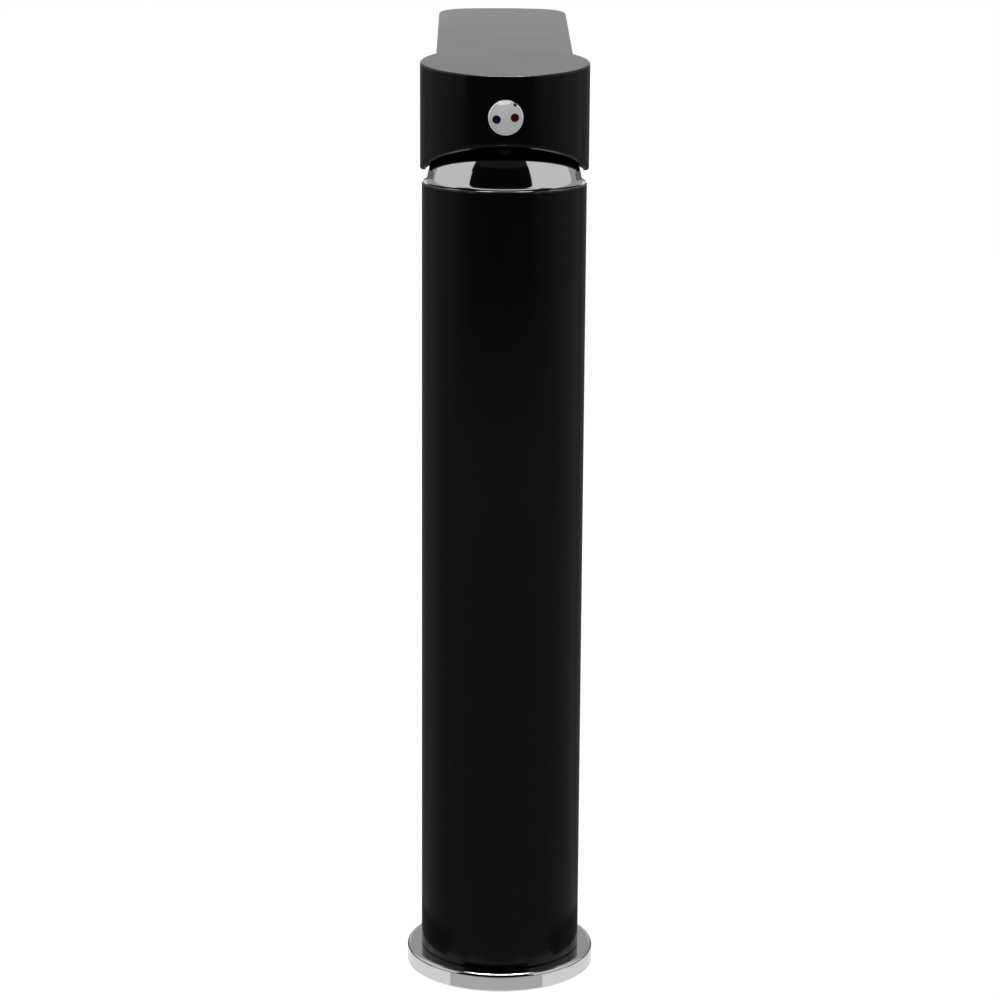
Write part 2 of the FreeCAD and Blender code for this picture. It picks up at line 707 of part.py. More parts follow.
for lap, count in ((1, 6), (2, 14)):
    hole_sketch = body_sketch(insert, "insert_hole_sketch_%d" % lap, "XY")
    circles(hole_sketch, [(d.ring_pitch * lap, 0, d.insert_hole)])
    hole = pocket_through(insert, "insert_hole_%d" % lap, hole_sketch)
    pattern = insert.newObject("PartDesign::PolarPattern", "insert_pattern_%d" % lap)
    pattern.Originals = [hole]
    pattern.Axis = (hole_sketch, ["N_Axis"])
    pattern.Angle = 360
    pattern.Occurrences = count
    insert.Tip = pattern
keep("aerator_seal", tube(
    "aerator_washer", aerator_radius, aerator_radius - d.aerator_wall * 1.6,
    d.outlet_depth + d.aerator_lip - d.aerator_height,
    y=d.outlet_reach, z=aerator_under + d.aerator_height))

# Cartridge: base, seals, two ceramic discs, housing
PORTS = [
    ("cold", -d.feed_across, d.hose_forward, d.feed_radius),
    ("hot", d.feed_across, d.hose_forward, d.feed_radius),
    ("mixed", as_size(0), -d.mixed_back, d.mixed_radius),
]
base_cuts = []
port_seals = []
disc_seals = []
disc_ports = []
for name, x, y, radius in PORTS:
    seal_outer = radius + d.port_seal_wall
    base_cuts.append(cylinder("base_%s" % name, radius, d.base_height * 2, x, y,
                              base_under - d.base_height / 2))
    for level, start, group in (
            ("low", base_under, port_seals),
            ("high", fixed_under - d.port_seal_height, disc_seals)):
        base_cuts.append(cylinder("base_%s_%s_seat" % (name, level), seal_outer,
                                  d.port_seal_height, x, y, start))
        group.append(tube("%s_%s_seal" % (name, level), seal_outer, radius,
                          d.port_seal_height, x, y, start))
    disc_ports.append(cylinder("disc_%s" % name, radius, d.fixed_disc_height * 3, x, y,
                               fixed_under - d.fixed_disc_height))
keep("cartridge_base", cut("cartridge_base_cut", fuse("cartridge_base_blank", [
    cylinder("base_plate", d.cartridge_radius, d.base_step, z=base_under),
    cylinder("base_step_disc", chamber_radius - d.slide_gap, d.base_height,
             z=base_under)]), base_cuts))
keep("port_seals", fuse("port_seal_set", port_seals))
keep("disc_seals", fuse("disc_seal_set", disc_seals))
keep("fixed_disc", cut(
    "fixed_disc_cut",
    cylinder("fixed_disc_blank", chamber_radius - d.fixed_disc_gap,
             d.fixed_disc_height, z=fixed_under),
    disc_ports))

chamber_top = rim - d.shoulder_drop - d.housing_roof
shoulder = rim - d.shoulder_drop
stop_under = chamber_top - d.stop_height
housing_blank = fuse("housing_blank", [
    cylinder("housing_wall", d.cartridge_radius, shoulder - housing_under,
             z=housing_under),
    cylinder("housing_neck", neck_radius, rim + d.neck_rise - housing_under,
             z=housing_under)])
housing_hollow = cut("housing_hollow", housing_blank, [
    cylinder("housing_chamber", chamber_radius, chamber_top - housing_under,
             z=housing_under),
    cylinder("housing_neck_bore", neck_bore, drive_drop * 2, z=chamber_top - 1)])
rib_bottom = stop_bottom + d.slide_gap
housing_rib = cut("housing_rib", sector(
    "housing_rib_slice", (chamber_radius + d.cartridge_radius) / 2, d.stop_height,
    d.stop_rib, stop_under), [
        cylinder("housing_rib_inside", rib_bottom, d.stop_height, z=stop_under)])
keep("cartridge_housing", fuse("housing", [housing_hollow, housing_rib]))

# Carrier: turns in the housing and holds the pivot pin
flange_top = chamber_top - d.slide_gap
flange_under = rim - drive_drop + d.drive_plate + d.slide_gap
slot_width = d.stem_side + d.stem_slot_gap * 2
carrier_blank = fuse("carrier_blank", [
    cylinder("carrier_flange", chamber_radius - d.slide_gap, flange_top - flange_under,
             z=flange_under),
    cylinder("carrier_neck", neck_bore - d.slide_gap,
             rim + d.carrier_rise - flange_under, z=flange_under)])
carrier_notch = cut("carrier_notch", sector(
    "carrier_notch_slice", d.cartridge_radius, drive_drop, d.stop_free,
    stop_under - d.slide_gap), [
        cylinder("carrier_notch_inside", stop_bottom, drive_drop * 2,
                 z=flange_under)])
carrier_ring_drop = d.pin_radius + d.carrier_ring_section + d.carrier_ring_land
ring_groove = neck_bore - d.slide_gap / 2 - d.carrier_ring_section
keep("stem_carrier", cut("carrier", carrier_blank, [
    carrier_notch,
    block("carrier_stem_slot", slot_width, d.carrier_slot, drive_drop * 2,
          z=flange_under - 1),
    block("carrier_channel", d.drive_width + d.slide_gap * 2, chamber_radius * 2 + 2,
          drive_under + drive_drop - drive_top_drop + d.slide_gap - flange_under + 1,
          z=flange_under - 1),
    cylinder("carrier_pin_hole", d.pin_radius, pin_half * 2, x=-pin_half, z=rim,
             along="x"),
    torus("carrier_groove", ring_groove, d.carrier_ring_section,
          z=rim - carrier_ring_drop)]))
keep("carrier_o_ring", torus("carrier_ring", ring_groove, d.carrier_ring_section,
                             z=rim - carrier_ring_drop))
keep("pivot_pin", cylinder("pin", d.pin_radius, pin_half * 2, x=-pin_half, z=rim,
                           along="x"))

# Disc drive and moving disc, both shown in the closed place
toe_slot = d.toe_radius + d.slide_gap / 2
keep("disc_drive", cut("drive", fuse("drive_blank", [
    cylinder("drive_disc", moving_disc_radius - 1, d.drive_plate, y=-toe_back,
             z=drive_under),
    block("drive_block", d.drive_width, d.drive_length,
          drive_drop - drive_top_drop, y=-toe_back, z=drive_under)]), [
    block("drive_slot", d.toe_width + d.slide_gap * 4, toe_slot * 2, drive_drop,
          y=-toe_back, z=rim - d.toe_arm - d.toe_radius - d.toe_floor)]))
mixing_edge = d.hose_forward - d.feed_radius - d.mixing_land
mixing_hollow = common("mixing_hollow", [
    cylinder("mixing_round", mixing_radius, d.mixing_depth, y=-toe_back,
             z=moving_under),
    block("mixing_half", mixing_radius * 4, mixing_radius * 2, d.mixing_depth,
          y=mixing_edge - mixing_radius, z=moving_under)])
keep("moving_disc", cut(
    "moving_disc_cut",
    cylinder("moving_disc_blank", moving_disc_radius, d.moving_disc_height,
             y=-toe_back, z=moving_under),
    [mixing_hollow]))


# Stem: leans forward when closed, and turns about the pin with the lever
def lean(thing, x, across, along):
    # A place in the stem's own frame: across is its y, along runs up the stem.
    thing.Placement = FreeCAD.Placement(
        FreeCAD.Vector(), FreeCAD.Rotation(FreeCAD.Vector(-1, 0, 0), 1))
    bind(thing, "Placement.Rotation.Angle", d.stem_lean)
    across = as_size(across)
    along = as_size(along)
    move(thing, x,
         across * cosine(d.stem_lean) + along * sine(d.stem_lean),
         rim - across * sine(d.stem_lean) + along * cosine(d.stem_lean))
    return thing


def leaning_block(name, width, depth, start, length):
    thing = block(name, width, depth, length)
    return lean(thing, -as_size(width) / 2, -as_size(depth) / 2, start)


stem_blank = fuse("stem_blank", [
    leaning_block("stem_bar", d.stem_side, d.stem_side, -d.stem_foot,
                  d.stem_top + d.stem_foot),
    leaning_block("stem_arm", d.toe_width, d.arm_depth, -d.toe_arm, d.toe_arm),
    cylinder("stem_toe", d.toe_radius, d.toe_width, x=-d.toe_width / 2, y=-toe_back,
             z=rim - d.toe_arm * cosine(d.stem_lean), along="x")])
keep("valve_stem", cut("stem", stem_blank, [
    cylinder("stem_pin_hole", d.pin_radius + d.slide_gap, d.stem_side * 2,
             x=-d.stem_side, z=rim, along="x")]))

# Cartridge nut
nut_hex = doc.addObject("Part::Prism", "nut_head")
nut_hex.Polygon = 6
bind(nut_hex, "Circumradius", nut_thread_radius - d.nut_hex_step)
bind(nut_hex, "Height", d.nut_head)
move(nut_hex, 0, 0, rim + d.seat_rise)
keep("cartridge_nut", cut("nut", fuse("nut_blank", [
    cylinder("nut_thread", nut_thread_radius - d.fit_gap,
             d.seat_rise + d.shoulder_drop, z=shoulder),
    nut_hex]), [
    cylinder("nut_hole", neck_radius + d.nut_bore_gap, drive_drop * 2, z=shoulder - 1)]))

# Collar: a ball shape near the pivot, a hollow flare at its foot, a threaded spigot
# The flare's curve touches the ball where the disc under it ends.
flare_edge = body_radius - d.rim_break_width
flare_up = d.flare_rise + d.dome_drop
flare_span = dome_radius + d.flare_radius
flare_ring = root(flare_span * flare_span - flare_up * flare_up)
flare_touch = flare_up * dome_radius / flare_span - d.dome_drop
dome_blank = common("dome_blank", [
    ball("dome_ball", dome_radius, z=rim - d.dome_drop),
    cylinder("dome_band", body_radius * 2, d.dome_open_height, z=rim)])
flare_foot = cut("flare_foot", cylinder("flare_disc", flare_edge, flare_touch, z=rim), [
    torus("flare_hollow", flare_ring, d.flare_radius, z=rim + d.flare_rise)])
collar_blank = fuse("collar_blank", [
    dome_blank,
    flare_foot,
    cylinder("collar_spigot_disc", bore - d.fit_gap, d.collar_spigot + 1,
             z=rim - d.collar_spigot)])
collar_groove = bore - d.fit_gap / 2 - d.collar_ring_section
keep("dome_collar", cut("collar", collar_blank, [
    common("dome_hollow", [
        ball("dome_inside", dome_radius - d.dome_wall, z=rim - d.dome_drop),
        cylinder("dome_inside_band", body_radius * 2, dome_radius, z=rim + 1)]),
    cylinder("collar_bore", seat_neck_radius + d.fit_gap, d.collar_spigot + 3,
             z=rim - d.collar_spigot - 1),
    torus("collar_ring_groove", collar_groove, d.collar_ring_section,
          z=rim - d.collar_ring_drop)]))
keep("collar_o_ring", torus("collar_ring", collar_groove, d.collar_ring_section,
                            z=rim - d.collar_ring_drop))

# Lever: a cap with a slanted cut behind and a flat blade in front
rise = tangent(d.top_slope)
cut_rise = tangent(d.cut_slope)
beyond = cap_radius + 4
far = d.blade_tip + 4
cap_round = cylinder("cap_round", cap_radius, d.cap_top * 2, z=rim)
cap_round.Placement = FreeCAD.Placement(FreeCAD.Vector(), FreeCAD.Rotation(Z_AXIS, 90))
cap_side = prism("cap_side", "YZ", [
    (-beyond, rim + d.skirt_rise + (beyond - d.cut_start) * cut_rise),
    (-d.cut_start, rim + d.skirt_rise),
    (beyond, rim + d.skirt_rise),
    (beyond, rim + d.cap_top + beyond * rise),
    (-beyond, rim + d.cap_top - beyond * rise),
], beyond * 2)
cap_block = common("cap_block", [cap_round, cap_side])
under_rise = tangent(d.top_slope + d.blade_taper)
blade_low = rim + d.cap_top + cap_radius * rise - d.blade_thick
blade_side = prism("blade_side", "YZ", [
    (0, rim + d.cap_top),
    (0, blade_low - cap_radius * under_rise),
    (far, blade_low + (far - cap_radius) * under_rise),
    (far, rim + d.cap_top + far * rise),
], d.blade_width)
blade_round = cylinder("blade_bow_round", d.blade_bow, d.cap_top * 2,
                       y=d.blade_tip - d.blade_bow, z=rim)
blade_block = common("blade_block", [blade_side, blade_round])


def blade_corner_edge(edge):
    box = edge.BoundBox
    return box.ZLength > 2 and box.YMin > cap_radius.number * 2


blade_plan = rounded("blade_plan", blade_block, [(blade_corner_edge, d.blade_corner)])
lever_blank = fuse("lever_blank", [cap_block, blade_plan])


def on_top(edge):
    for spot in (edge.FirstParameter, (edge.FirstParameter + edge.LastParameter) / 2):
        point = edge.valueAt(spot)
        height = (rim + d.cap_top + rise * point.y).number
        if abs(point.z - height) > 1e-3:
            return False
    return True


def on_skirt(edge):
    middle = edge.valueAt((edge.FirstParameter + edge.LastParameter) / 2)
    away = math.hypot(middle.x, middle.y)
    low = middle.z < (rim + d.cap_top / 2).number
    return low and abs(away - cap_radius.number) < 1e-3


def under_blade(edge):
    middle = edge.valueAt((edge.FirstParameter + edge.LastParameter) / 2)
    height = (blade_low + (as_size(middle.y) - cap_radius) * under_rise).number
    outside = middle.y > cap_radius.number * 0.6
    at_cap = abs(math.hypot(middle.x, middle.y) - cap_radius.number) < 1e-3
    return outside and not at_cap and abs(middle.z - height) < 1e-3


lever_soft = rounded("lever_soft", lever_blank, [
    (on_top, d.top_round),
    (on_skirt, d.skirt_round),
    (under_blade, d.blade_round),
])
cavity_radius = cap_radius - d.cap_wall
ceiling = rim + d.cap_top - d.top_wall
cavity_side = prism("cavity_side", "YZ", [
    (-beyond, rim),
    (beyond, rim),
    (beyond, ceiling + beyond * rise),
    (-beyond, ceiling - beyond * rise),
], beyond * 2)
cavity = common("cavity", [
    cylinder("cavity_round", cavity_radius, d.cap_top * 2, z=rim - 1),
    cavity_side])
hub = cylinder("hub", d.hub_radius, d.cap_top - d.top_wall / 2 - d.hub_start)
lean(hub, 0, 0, d.hub_start)
boss_start = cap_radius - d.cap_wall * 0.7
boss_end = cap_radius - d.boss_depth
boss = cylinder("plug_boss", d.boss_radius, boss_start - boss_end, y=-boss_start,
                z=rim + d.plug_height, along="y")
lever_hollow = cut("lever_hollow", lever_soft, [cavity])
lever_full = fuse("lever_full", [lever_hollow, hub, boss])
socket_side = d.stem_side + d.hub_gap * 2
screw_height = (
    d.plug_height * cosine(d.stem_lean)
    - (plug_front + plug_seat) / 2 * sine(d.stem_lean))


def across_stem(name, radius, start, end):
    # A round bar square to the stem's back, from start to end behind its middle.
    thing = doc.addObject("Part::Cylinder", name)
    bind(thing, "Radius", radius)
    bind(thing, "Height", end - start)
    thing.Placement = FreeCAD.Placement(
        FreeCAD.Vector(), FreeCAD.Rotation(X_AXIS, 1))
    bind(thing, "Placement.Rotation.Angle", 90 - d.stem_lean)
    move(thing, 0,
         screw_height * sine(d.stem_lean) - start * cosine(d.stem_lean),
         rim + start * sine(d.stem_lean) + screw_height * cosine(d.stem_lean))
    return thing


keep("lever_handle", cut("lever", lever_full, [
    leaning_block("lever_socket", socket_side, socket_side, d.hub_start - 1,
                  d.stem_top - d.hub_start + 1.3),
    cylinder("lever_plug_recess", d.plug_radius + d.fit_gap, cap_radius,
             y=-plug_seat - cap_radius, z=rim + d.plug_height, along="y"),
    across_stem("lever_key_way", d.key_radius, boss_end - 4, cap_radius + 2),
    across_stem("lever_screw_hole", d.screw_radius, as_size(0), d.hub_radius + 2)]))
screw_start = socket_side / 2
screw_socket = across_stem("grub_socket", d.screw_radius * 0.577,
                           screw_start + d.screw_length / 2,
                           screw_start + d.screw_length + 1)
keep("grub_screw", cut("grub", across_stem(
    "grub_blank", d.screw_radius, screw_start, screw_start + d.screw_length),
    [screw_socket]))

# Colour plug with its two dots
plug_blank = common("plug_blank", [
    cylinder("plug_round", d.plug_radius, plug_front - plug_seat, y=-plug_front,
             z=rim + d.plug_height, along="y"),
    ball("plug_dome", d.plug_ball, y=d.plug_ball - plug_front,
         z=rim + d.plug_height)])
mark_seat = plug_front - d.mark_depth
mark_face = plug_front - d.mark_sunk
mark_x = d.mark_across * cosine(d.mark_roll)
mark_z = d.mark_across * sine(d.mark_roll)
facet_edge = d.plug_radius - d.facet_drop
facet_rise = tangent(d.facet_slope)
pry_facet = prism("pry_facet", "YZ", [
    (-plug_front - 1, facet_edge - facet_rise),
    (d.plug_radius - plug_front, facet_edge + d.plug_radius * facet_rise),
    (-plug_front - 1, facet_edge + d.plug_radius * facet_rise),
], d.plug_radius * 4)
pry_facet.Placement = FreeCAD.Placement(
    FreeCAD.Vector(), FreeCAD.Rotation(FreeCAD.Vector(0, -1, 0), 1))
bind(pry_facet, "Placement.Rotation.Angle", d.mark_roll)
move(pry_facet, 0, 0, rim + d.plug_height)
pry_notch = cylinder("pry_notch", d.notch_radius, d.plug_depth + d.plug_proud + 1,
                     x=d.notch_across, y=-plug_front - 1,
                     z=rim + d.plug_height + d.notch_up, along="y")
marks = {}
mark_holes = [pry_facet, pry_notch]
for label, side in (("cold_mark", -1), ("hot_mark", 1)):
    level = rim + d.plug_height - d.mark_drop + side * mark_z
    mark_holes.append(cylinder(label + "_hole", d.mark_radius, mark_seat / 5,
                               x=side * mark_x, y=-mark_seat - mark_seat / 5,
                               z=level, along="y"))
    keep(label, cylinder(label + "_dot", d.mark_radius, mark_face - mark_seat,
                         x=side * mark_x, y=-mark_face, z=level, along="y"))
keep("indicator_plug", cut("plug", plug_blank, mark_holes))

doc.recompute()

# Check every sub-part and write its file
faults = []
for thing in doc.Objects:
    if "Invalid" in thing.State or "Error" in thing.State:
        faults.append("%s: %s" % (thing.Name, thing.State))
for label, thing in nodes.items():
    shape = thing.Shape
    if shape.isNull() or not shape.isValid() or len(shape.Solids) == 0:
        faults.append("%s: bad shape" % label)
        continue
    box = shape.BoundBox
    print("%-18s solids %d volume %10.2f x %.2f..%.2f y %.2f..%.2f z %.2f..%.2f" % (
        label, len(shape.Solids), shape.Volume, box.XMin, box.XMax,
        box.YMin, box.YMax, box.ZMin, box.ZMax))
    shape.exportStep("parts/%s.step" % label)
print("nodes", len(nodes))
print("faults", faults)
if faults:
    raise SystemExit("some features failed")
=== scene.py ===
# %% [markdown]
# # A tall basin mixer, dressed for a studio photograph
#
# The object is a black single-lever tap: a long satin tube on a polished foot
# ring, a polished ball collar, and a black cap with a flat blade. Its shape
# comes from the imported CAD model, which this lesson loads as a fixed frame.
# Here each surface gets its real finish, and the small turned pieces that
# catch the light are modelled again with finer edges.

# %% Load the frame
import json
import math

import bmesh
import bpy
from mathutils import Matrix, Vector


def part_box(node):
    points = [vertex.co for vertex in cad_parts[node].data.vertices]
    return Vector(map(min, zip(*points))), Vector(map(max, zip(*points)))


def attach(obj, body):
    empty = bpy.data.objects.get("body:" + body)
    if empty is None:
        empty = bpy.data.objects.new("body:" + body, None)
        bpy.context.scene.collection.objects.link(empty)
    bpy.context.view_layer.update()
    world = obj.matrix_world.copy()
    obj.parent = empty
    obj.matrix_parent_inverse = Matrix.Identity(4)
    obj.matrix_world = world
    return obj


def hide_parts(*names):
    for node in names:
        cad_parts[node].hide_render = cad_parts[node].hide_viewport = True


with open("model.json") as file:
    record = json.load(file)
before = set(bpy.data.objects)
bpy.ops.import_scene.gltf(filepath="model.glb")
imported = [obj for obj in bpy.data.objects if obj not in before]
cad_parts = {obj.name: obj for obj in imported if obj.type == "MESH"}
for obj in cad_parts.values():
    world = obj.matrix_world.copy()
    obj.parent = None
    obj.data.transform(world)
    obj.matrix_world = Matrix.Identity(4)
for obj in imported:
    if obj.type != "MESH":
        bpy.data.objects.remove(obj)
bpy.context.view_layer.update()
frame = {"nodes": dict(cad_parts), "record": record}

nodes = frame["nodes"]

# %% [markdown]
# ## Lengths
#
# The maker's drawing is in millimetres and Blender works in metres. So the
# tap's lengths are written in millimetres and multiplied by MM where they are
# used, and only the studio round it is measured in metres. The main heights
# that the new pieces share with the CAD model are read from the boxes of its
# nodes.

# %% Lengths shared with the CAD model
MM = 0.001
MICRON = 0.001 * MM
rim_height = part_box("body_shell")[1].z
foot_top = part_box("base_ring")[1].z
print("rim at", round(rim_height, 4), "foot ring up to", round(foot_top, 4))

# %% [markdown]
# ## Camera
#
# The photograph looks at the tap from behind and a little above, from nearly
# a metre away, with a long lens. The place, the tilt and the lens were worked
# out from the straight edges of the tube, its rim and its foot ring. A camera
# in Blender looks along its own -Z axis, so its three axes are written as the
# columns of its matrix.

# %% Camera at the photograph's place
sensor_width = 36.0
focal_pixels = 3043.58
photo_width = 1000.0
camera_place = Vector([value * MM for value in (-9.6, -918.0, 374.17)])
camera_turn = math.radians(0.553)
camera_dip = math.radians(13.65)
camera_roll = math.radians(0.354)

forward = Vector((
    math.sin(camera_turn) * math.cos(camera_dip),
    math.cos(camera_turn) * math.cos(camera_dip),
    -math.sin(camera_dip)))
level_right = Vector((math.cos(camera_turn), -math.sin(camera_turn), 0.0))
level_up = level_right.cross(forward)
right = math.cos(camera_roll) * level_right + math.sin(camera_roll) * level_up
up = math.cos(camera_roll) * level_up - math.sin(camera_roll) * level_right

lens = bpy.data.cameras.new("photo_camera")
lens.sensor_width = sensor_width
lens.lens = focal_pixels * sensor_width / photo_width
lens.clip_start = 0.05
lens.clip_end = 60.0
camera = bpy.data.objects.new("photo_camera", lens)
camera.matrix_world = Matrix((
    (right.x, up.x, -forward.x, camera_place.x),
    (right.y, up.y, -forward.y, camera_place.y),
    (right.z, up.z, -forward.z, camera_place.z),
    (0.0, 0.0, 0.0, 1.0)))
bpy.context.scene.collection.objects.link(camera)
bpy.context.scene.camera = camera
print("lens", round(lens.lens, 2), "mm")

# %% [markdown]
# ## Building a material by hand
#
# Every finish below is a small node tree around one Principled shader. These
# helpers add a node, join two sockets and set the shader's plain values, so
# that each material cell only says what is special about that finish.

# %% Node helpers


def add_node(tree, kind, **settings):
    node = tree.nodes.new(kind)
    for key, value in settings.items():
        setattr(node, key, value)
    return node


def join(tree, source, target):
    tree.links.new(source, target)


def feed(tree, value, socket):
    # A number or colour is typed into the socket, and another node is joined to it.
    if isinstance(value, bpy.types.NodeSocket):
        join(tree, value, socket)
    else:
        socket.default_value = value


def new_group(name, output, **inputs):
    # Every group takes a place and some numbers, and puts out one number.
    group = bpy.data.node_groups.new(name, "ShaderNodeTree")
    add_socket = group.interface.new_socket
    add_socket("Place", in_out="INPUT", socket_type="NodeSocketVector")
    for label, value in inputs.items():
        socket = add_socket(label, in_out="INPUT", socket_type="NodeSocketFloat")
        socket.default_value = value
    add_socket(output, in_out="OUTPUT", socket_type="NodeSocketFloat")
    start = group.nodes.new("NodeGroupInput")
    end = group.nodes.new("NodeGroupOutput")
    return group, start, end


def maths(tree, operation, first, second):
    node = add_node(tree, "ShaderNodeMath", operation=operation)
    feed(tree, first, node.inputs[0])
    feed(tree, second, node.inputs[1])
    return node.outputs[0]


def spread(tree, value, low, high, new_low=0.0, new_high=1.0):
    node = add_node(tree, "ShaderNodeMapRange")
    join(tree, value, node.inputs["Value"])
    node.inputs["From Min"].default_value = low
    node.inputs["From Max"].default_value = high
    node.inputs["To Min"].default_value = new_low
    node.inputs["To Max"].default_value = new_high
    return node.outputs["Result"]


def noise(tree, place, scale, detail, **values):
    node = add_node(tree, "ShaderNodeTexNoise")
    join(tree, place, node.inputs["Vector"])
    feed(tree, scale, node.inputs["Scale"])
    node.inputs["Detail"].default_value = detail
    for label, value in values.items():
        node.inputs[label].default_value = value
    return node.outputs["Fac"]


def blend_colours(tree, factor, first, second):
    node = add_node(tree, "ShaderNodeMix", data_type="RGBA")
    join(tree, factor, node.inputs["Factor"])
    for label, value in (("A", first), ("B", second)):
        socket = [s for s in node.inputs if s.name == label and s.type == "RGBA"][0]
        feed(tree, value + (1.0,) if isinstance(value, tuple) else value, socket)
    return [s for s in node.outputs if s.type == "RGBA"][0]


print("node helpers ready")

# %% [markdown]
# ## Effects that several finishes share
#
# Real surfaces are never quite even. Five effects come back again and again:
# the fine unevenness of a sprayed or plated coat, the haze that hands leave,
# dust that settles on what faces up, edges that are rubbed a little smoother,
# and the rings that a lathe's tool leaves. Each is a node group with its own
# inputs, built once. It puts out a mask or a height, and the material decides
# what that mask changes.

# %% Shared effect: fine unevenness of a coat


def build_coat_waves():
    group, start, end = new_group(
        "coat_waves", "Height", Fine=1400.0, Broad=220.0, Share=0.5)
    fine = noise(group, start.outputs["Place"], start.outputs["Fine"], detail=2.0)
    broad = noise(group, start.outputs["Place"], start.outputs["Broad"], detail=1.0)
    mix = add_node(group, "ShaderNodeMix", data_type="FLOAT")
    join(group, start.outputs["Share"], mix.inputs[0])
    join(group, fine, mix.inputs[2])
    join(group, broad, mix.inputs[3])
    join(group, mix.outputs[0], end.inputs["Height"])
    return group


coat_waves = build_coat_waves()
print("group", coat_waves.name)

# %% Shared effect: haze left by hands and cloths


def build_hand_haze():
    group, start, end = new_group("hand_haze", "Mask", Size=28.0, Amount=1.0)
    clouds = noise(
        group, start.outputs["Place"], start.outputs["Size"], detail=4.0,
        Roughness=0.55, Distortion=0.4)
    soft = spread(group, clouds, low=0.35, high=0.7)
    join(group, maths(group, "MULTIPLY", soft, start.outputs["Amount"]), end.inputs["Mask"])
    return group


hand_haze = build_hand_haze()
print("group", hand_haze.name)

# %% Shared effect: dust on what faces up


def build_settled_dust():
    group, start, end = new_group("settled_dust", "Mask", Grain=900.0, Amount=0.3)
    surface = add_node(group, "ShaderNodeNewGeometry")
    parts = add_node(group, "ShaderNodeSeparateXYZ")
    join(group, surface.outputs["Normal"], parts.inputs[0])
    faces_up = spread(group, parts.outputs["Z"], low=0.25, high=0.95)
    specks = noise(group, start.outputs["Place"], start.outputs["Grain"], detail=3.0)
    grains = spread(group, specks, low=0.56, high=0.74)
    both = maths(group, "MULTIPLY", faces_up, grains)
    join(group, maths(group, "MULTIPLY", both, start.outputs["Amount"]), end.inputs["Mask"])
    return group


settled_dust = build_settled_dust()
print("group", settled_dust.name)

# %% Shared effect: rubbed edges


def build_rubbed_edges():
    group, start, end = new_group("rubbed_edges", "Mask", Breaks=120.0, Amount=0.5)
    surface = add_node(group, "ShaderNodeNewGeometry")
    eased = add_node(group, "ShaderNodeBevel", samples=4)
    eased.inputs["Radius"].default_value = 0.6 * MM
    turn = add_node(group, "ShaderNodeVectorMath", operation="DOT_PRODUCT")
    join(group, surface.outputs["Normal"], turn.inputs[0])
    join(group, eased.outputs["Normal"], turn.inputs[1])
    edge = spread(group, turn.outputs["Value"], low=0.995, high=0.9)
    breaks = noise(group, start.outputs["Place"], start.outputs["Breaks"], detail=3.0)
    uneven = spread(group, breaks, low=0.3, high=0.7)
    both = maths(group, "MULTIPLY", edge, uneven)
    join(group, maths(group, "MULTIPLY", both, start.outputs["Amount"]), end.inputs["Mask"])
    return group


rubbed_edges = build_rubbed_edges()
print("group", rubbed_edges.name)

# %% Shared effect: rings left by a lathe


def build_lathe_rings():
    group, start, end = new_group("lathe_rings", "Height", Pitch=900.0)
    wave = add_node(
        group, "ShaderNodeTexWave", wave_type="BANDS", bands_direction="Z",
        wave_profile="SIN")
    wave.inputs["Distortion"].default_value = 0.6
    wave.inputs["Detail"].default_value = 1.0
    join(group, start.outputs["Place"], wave.inputs["Vector"])
    join(group, start.outputs["Pitch"], wave.inputs["Scale"])
    join(group, wave.outputs["Fac"], end.inputs["Height"])
    return group


lathe_rings = build_lathe_rings()
print("group", lathe_rings.name)

# %% Start of every material


def start_material(name, **values):
    material = bpy.data.materials.new(name)
    material.use_nodes = True
    tree = material.node_tree
    shader = tree.nodes["Principled BSDF"]
    for label, value in values.items():
        shader.inputs[label.replace("_", " ")].default_value = value
    place = add_node(tree, "ShaderNodeTexCoord").outputs["Object"]
    return material, tree, shader, place


def put_group(tree, group, place, **values):
    node = add_node(tree, "ShaderNodeGroup", node_tree=group)
    join(tree, place, node.inputs["Place"])
    for label, value in values.items():
        node.inputs[label].default_value = value
    return node.outputs[0]


def raise_surface(tree, shader, height, distance, strength=1.0):
    bump = add_node(tree, "ShaderNodeBump")
    bump.inputs["Strength"].default_value = strength
    bump.inputs["Distance"].default_value = distance
    join(tree, height, bump.inputs["Height"])
    join(tree, bump.outputs["Normal"], shader.inputs["Normal"])


def vary_roughness(tree, shader, mask, smooth, rough):
    roughness = spread(tree, mask, 0.0, 1.0, new_low=smooth, new_high=rough)
    join(tree, roughness, shader.inputs["Roughness"])


print("material helpers ready")

# %% [markdown]
# ## Satin black coat
#
# Tube, spout and lever are brass under a sprayed and baked black coat. It is
# almost black, and what one sees of it is its soft shine: a broad dim
# reflection, stronger where one looks along the surface. So the colour is set
# very dark and the shine is left to the shader. A little dust lifts the
# colour, the haze of hands changes the roughness, and fine waves a few
# thousandths of a millimetre high keep the shine from looking like glass.

# %% Satin black coat


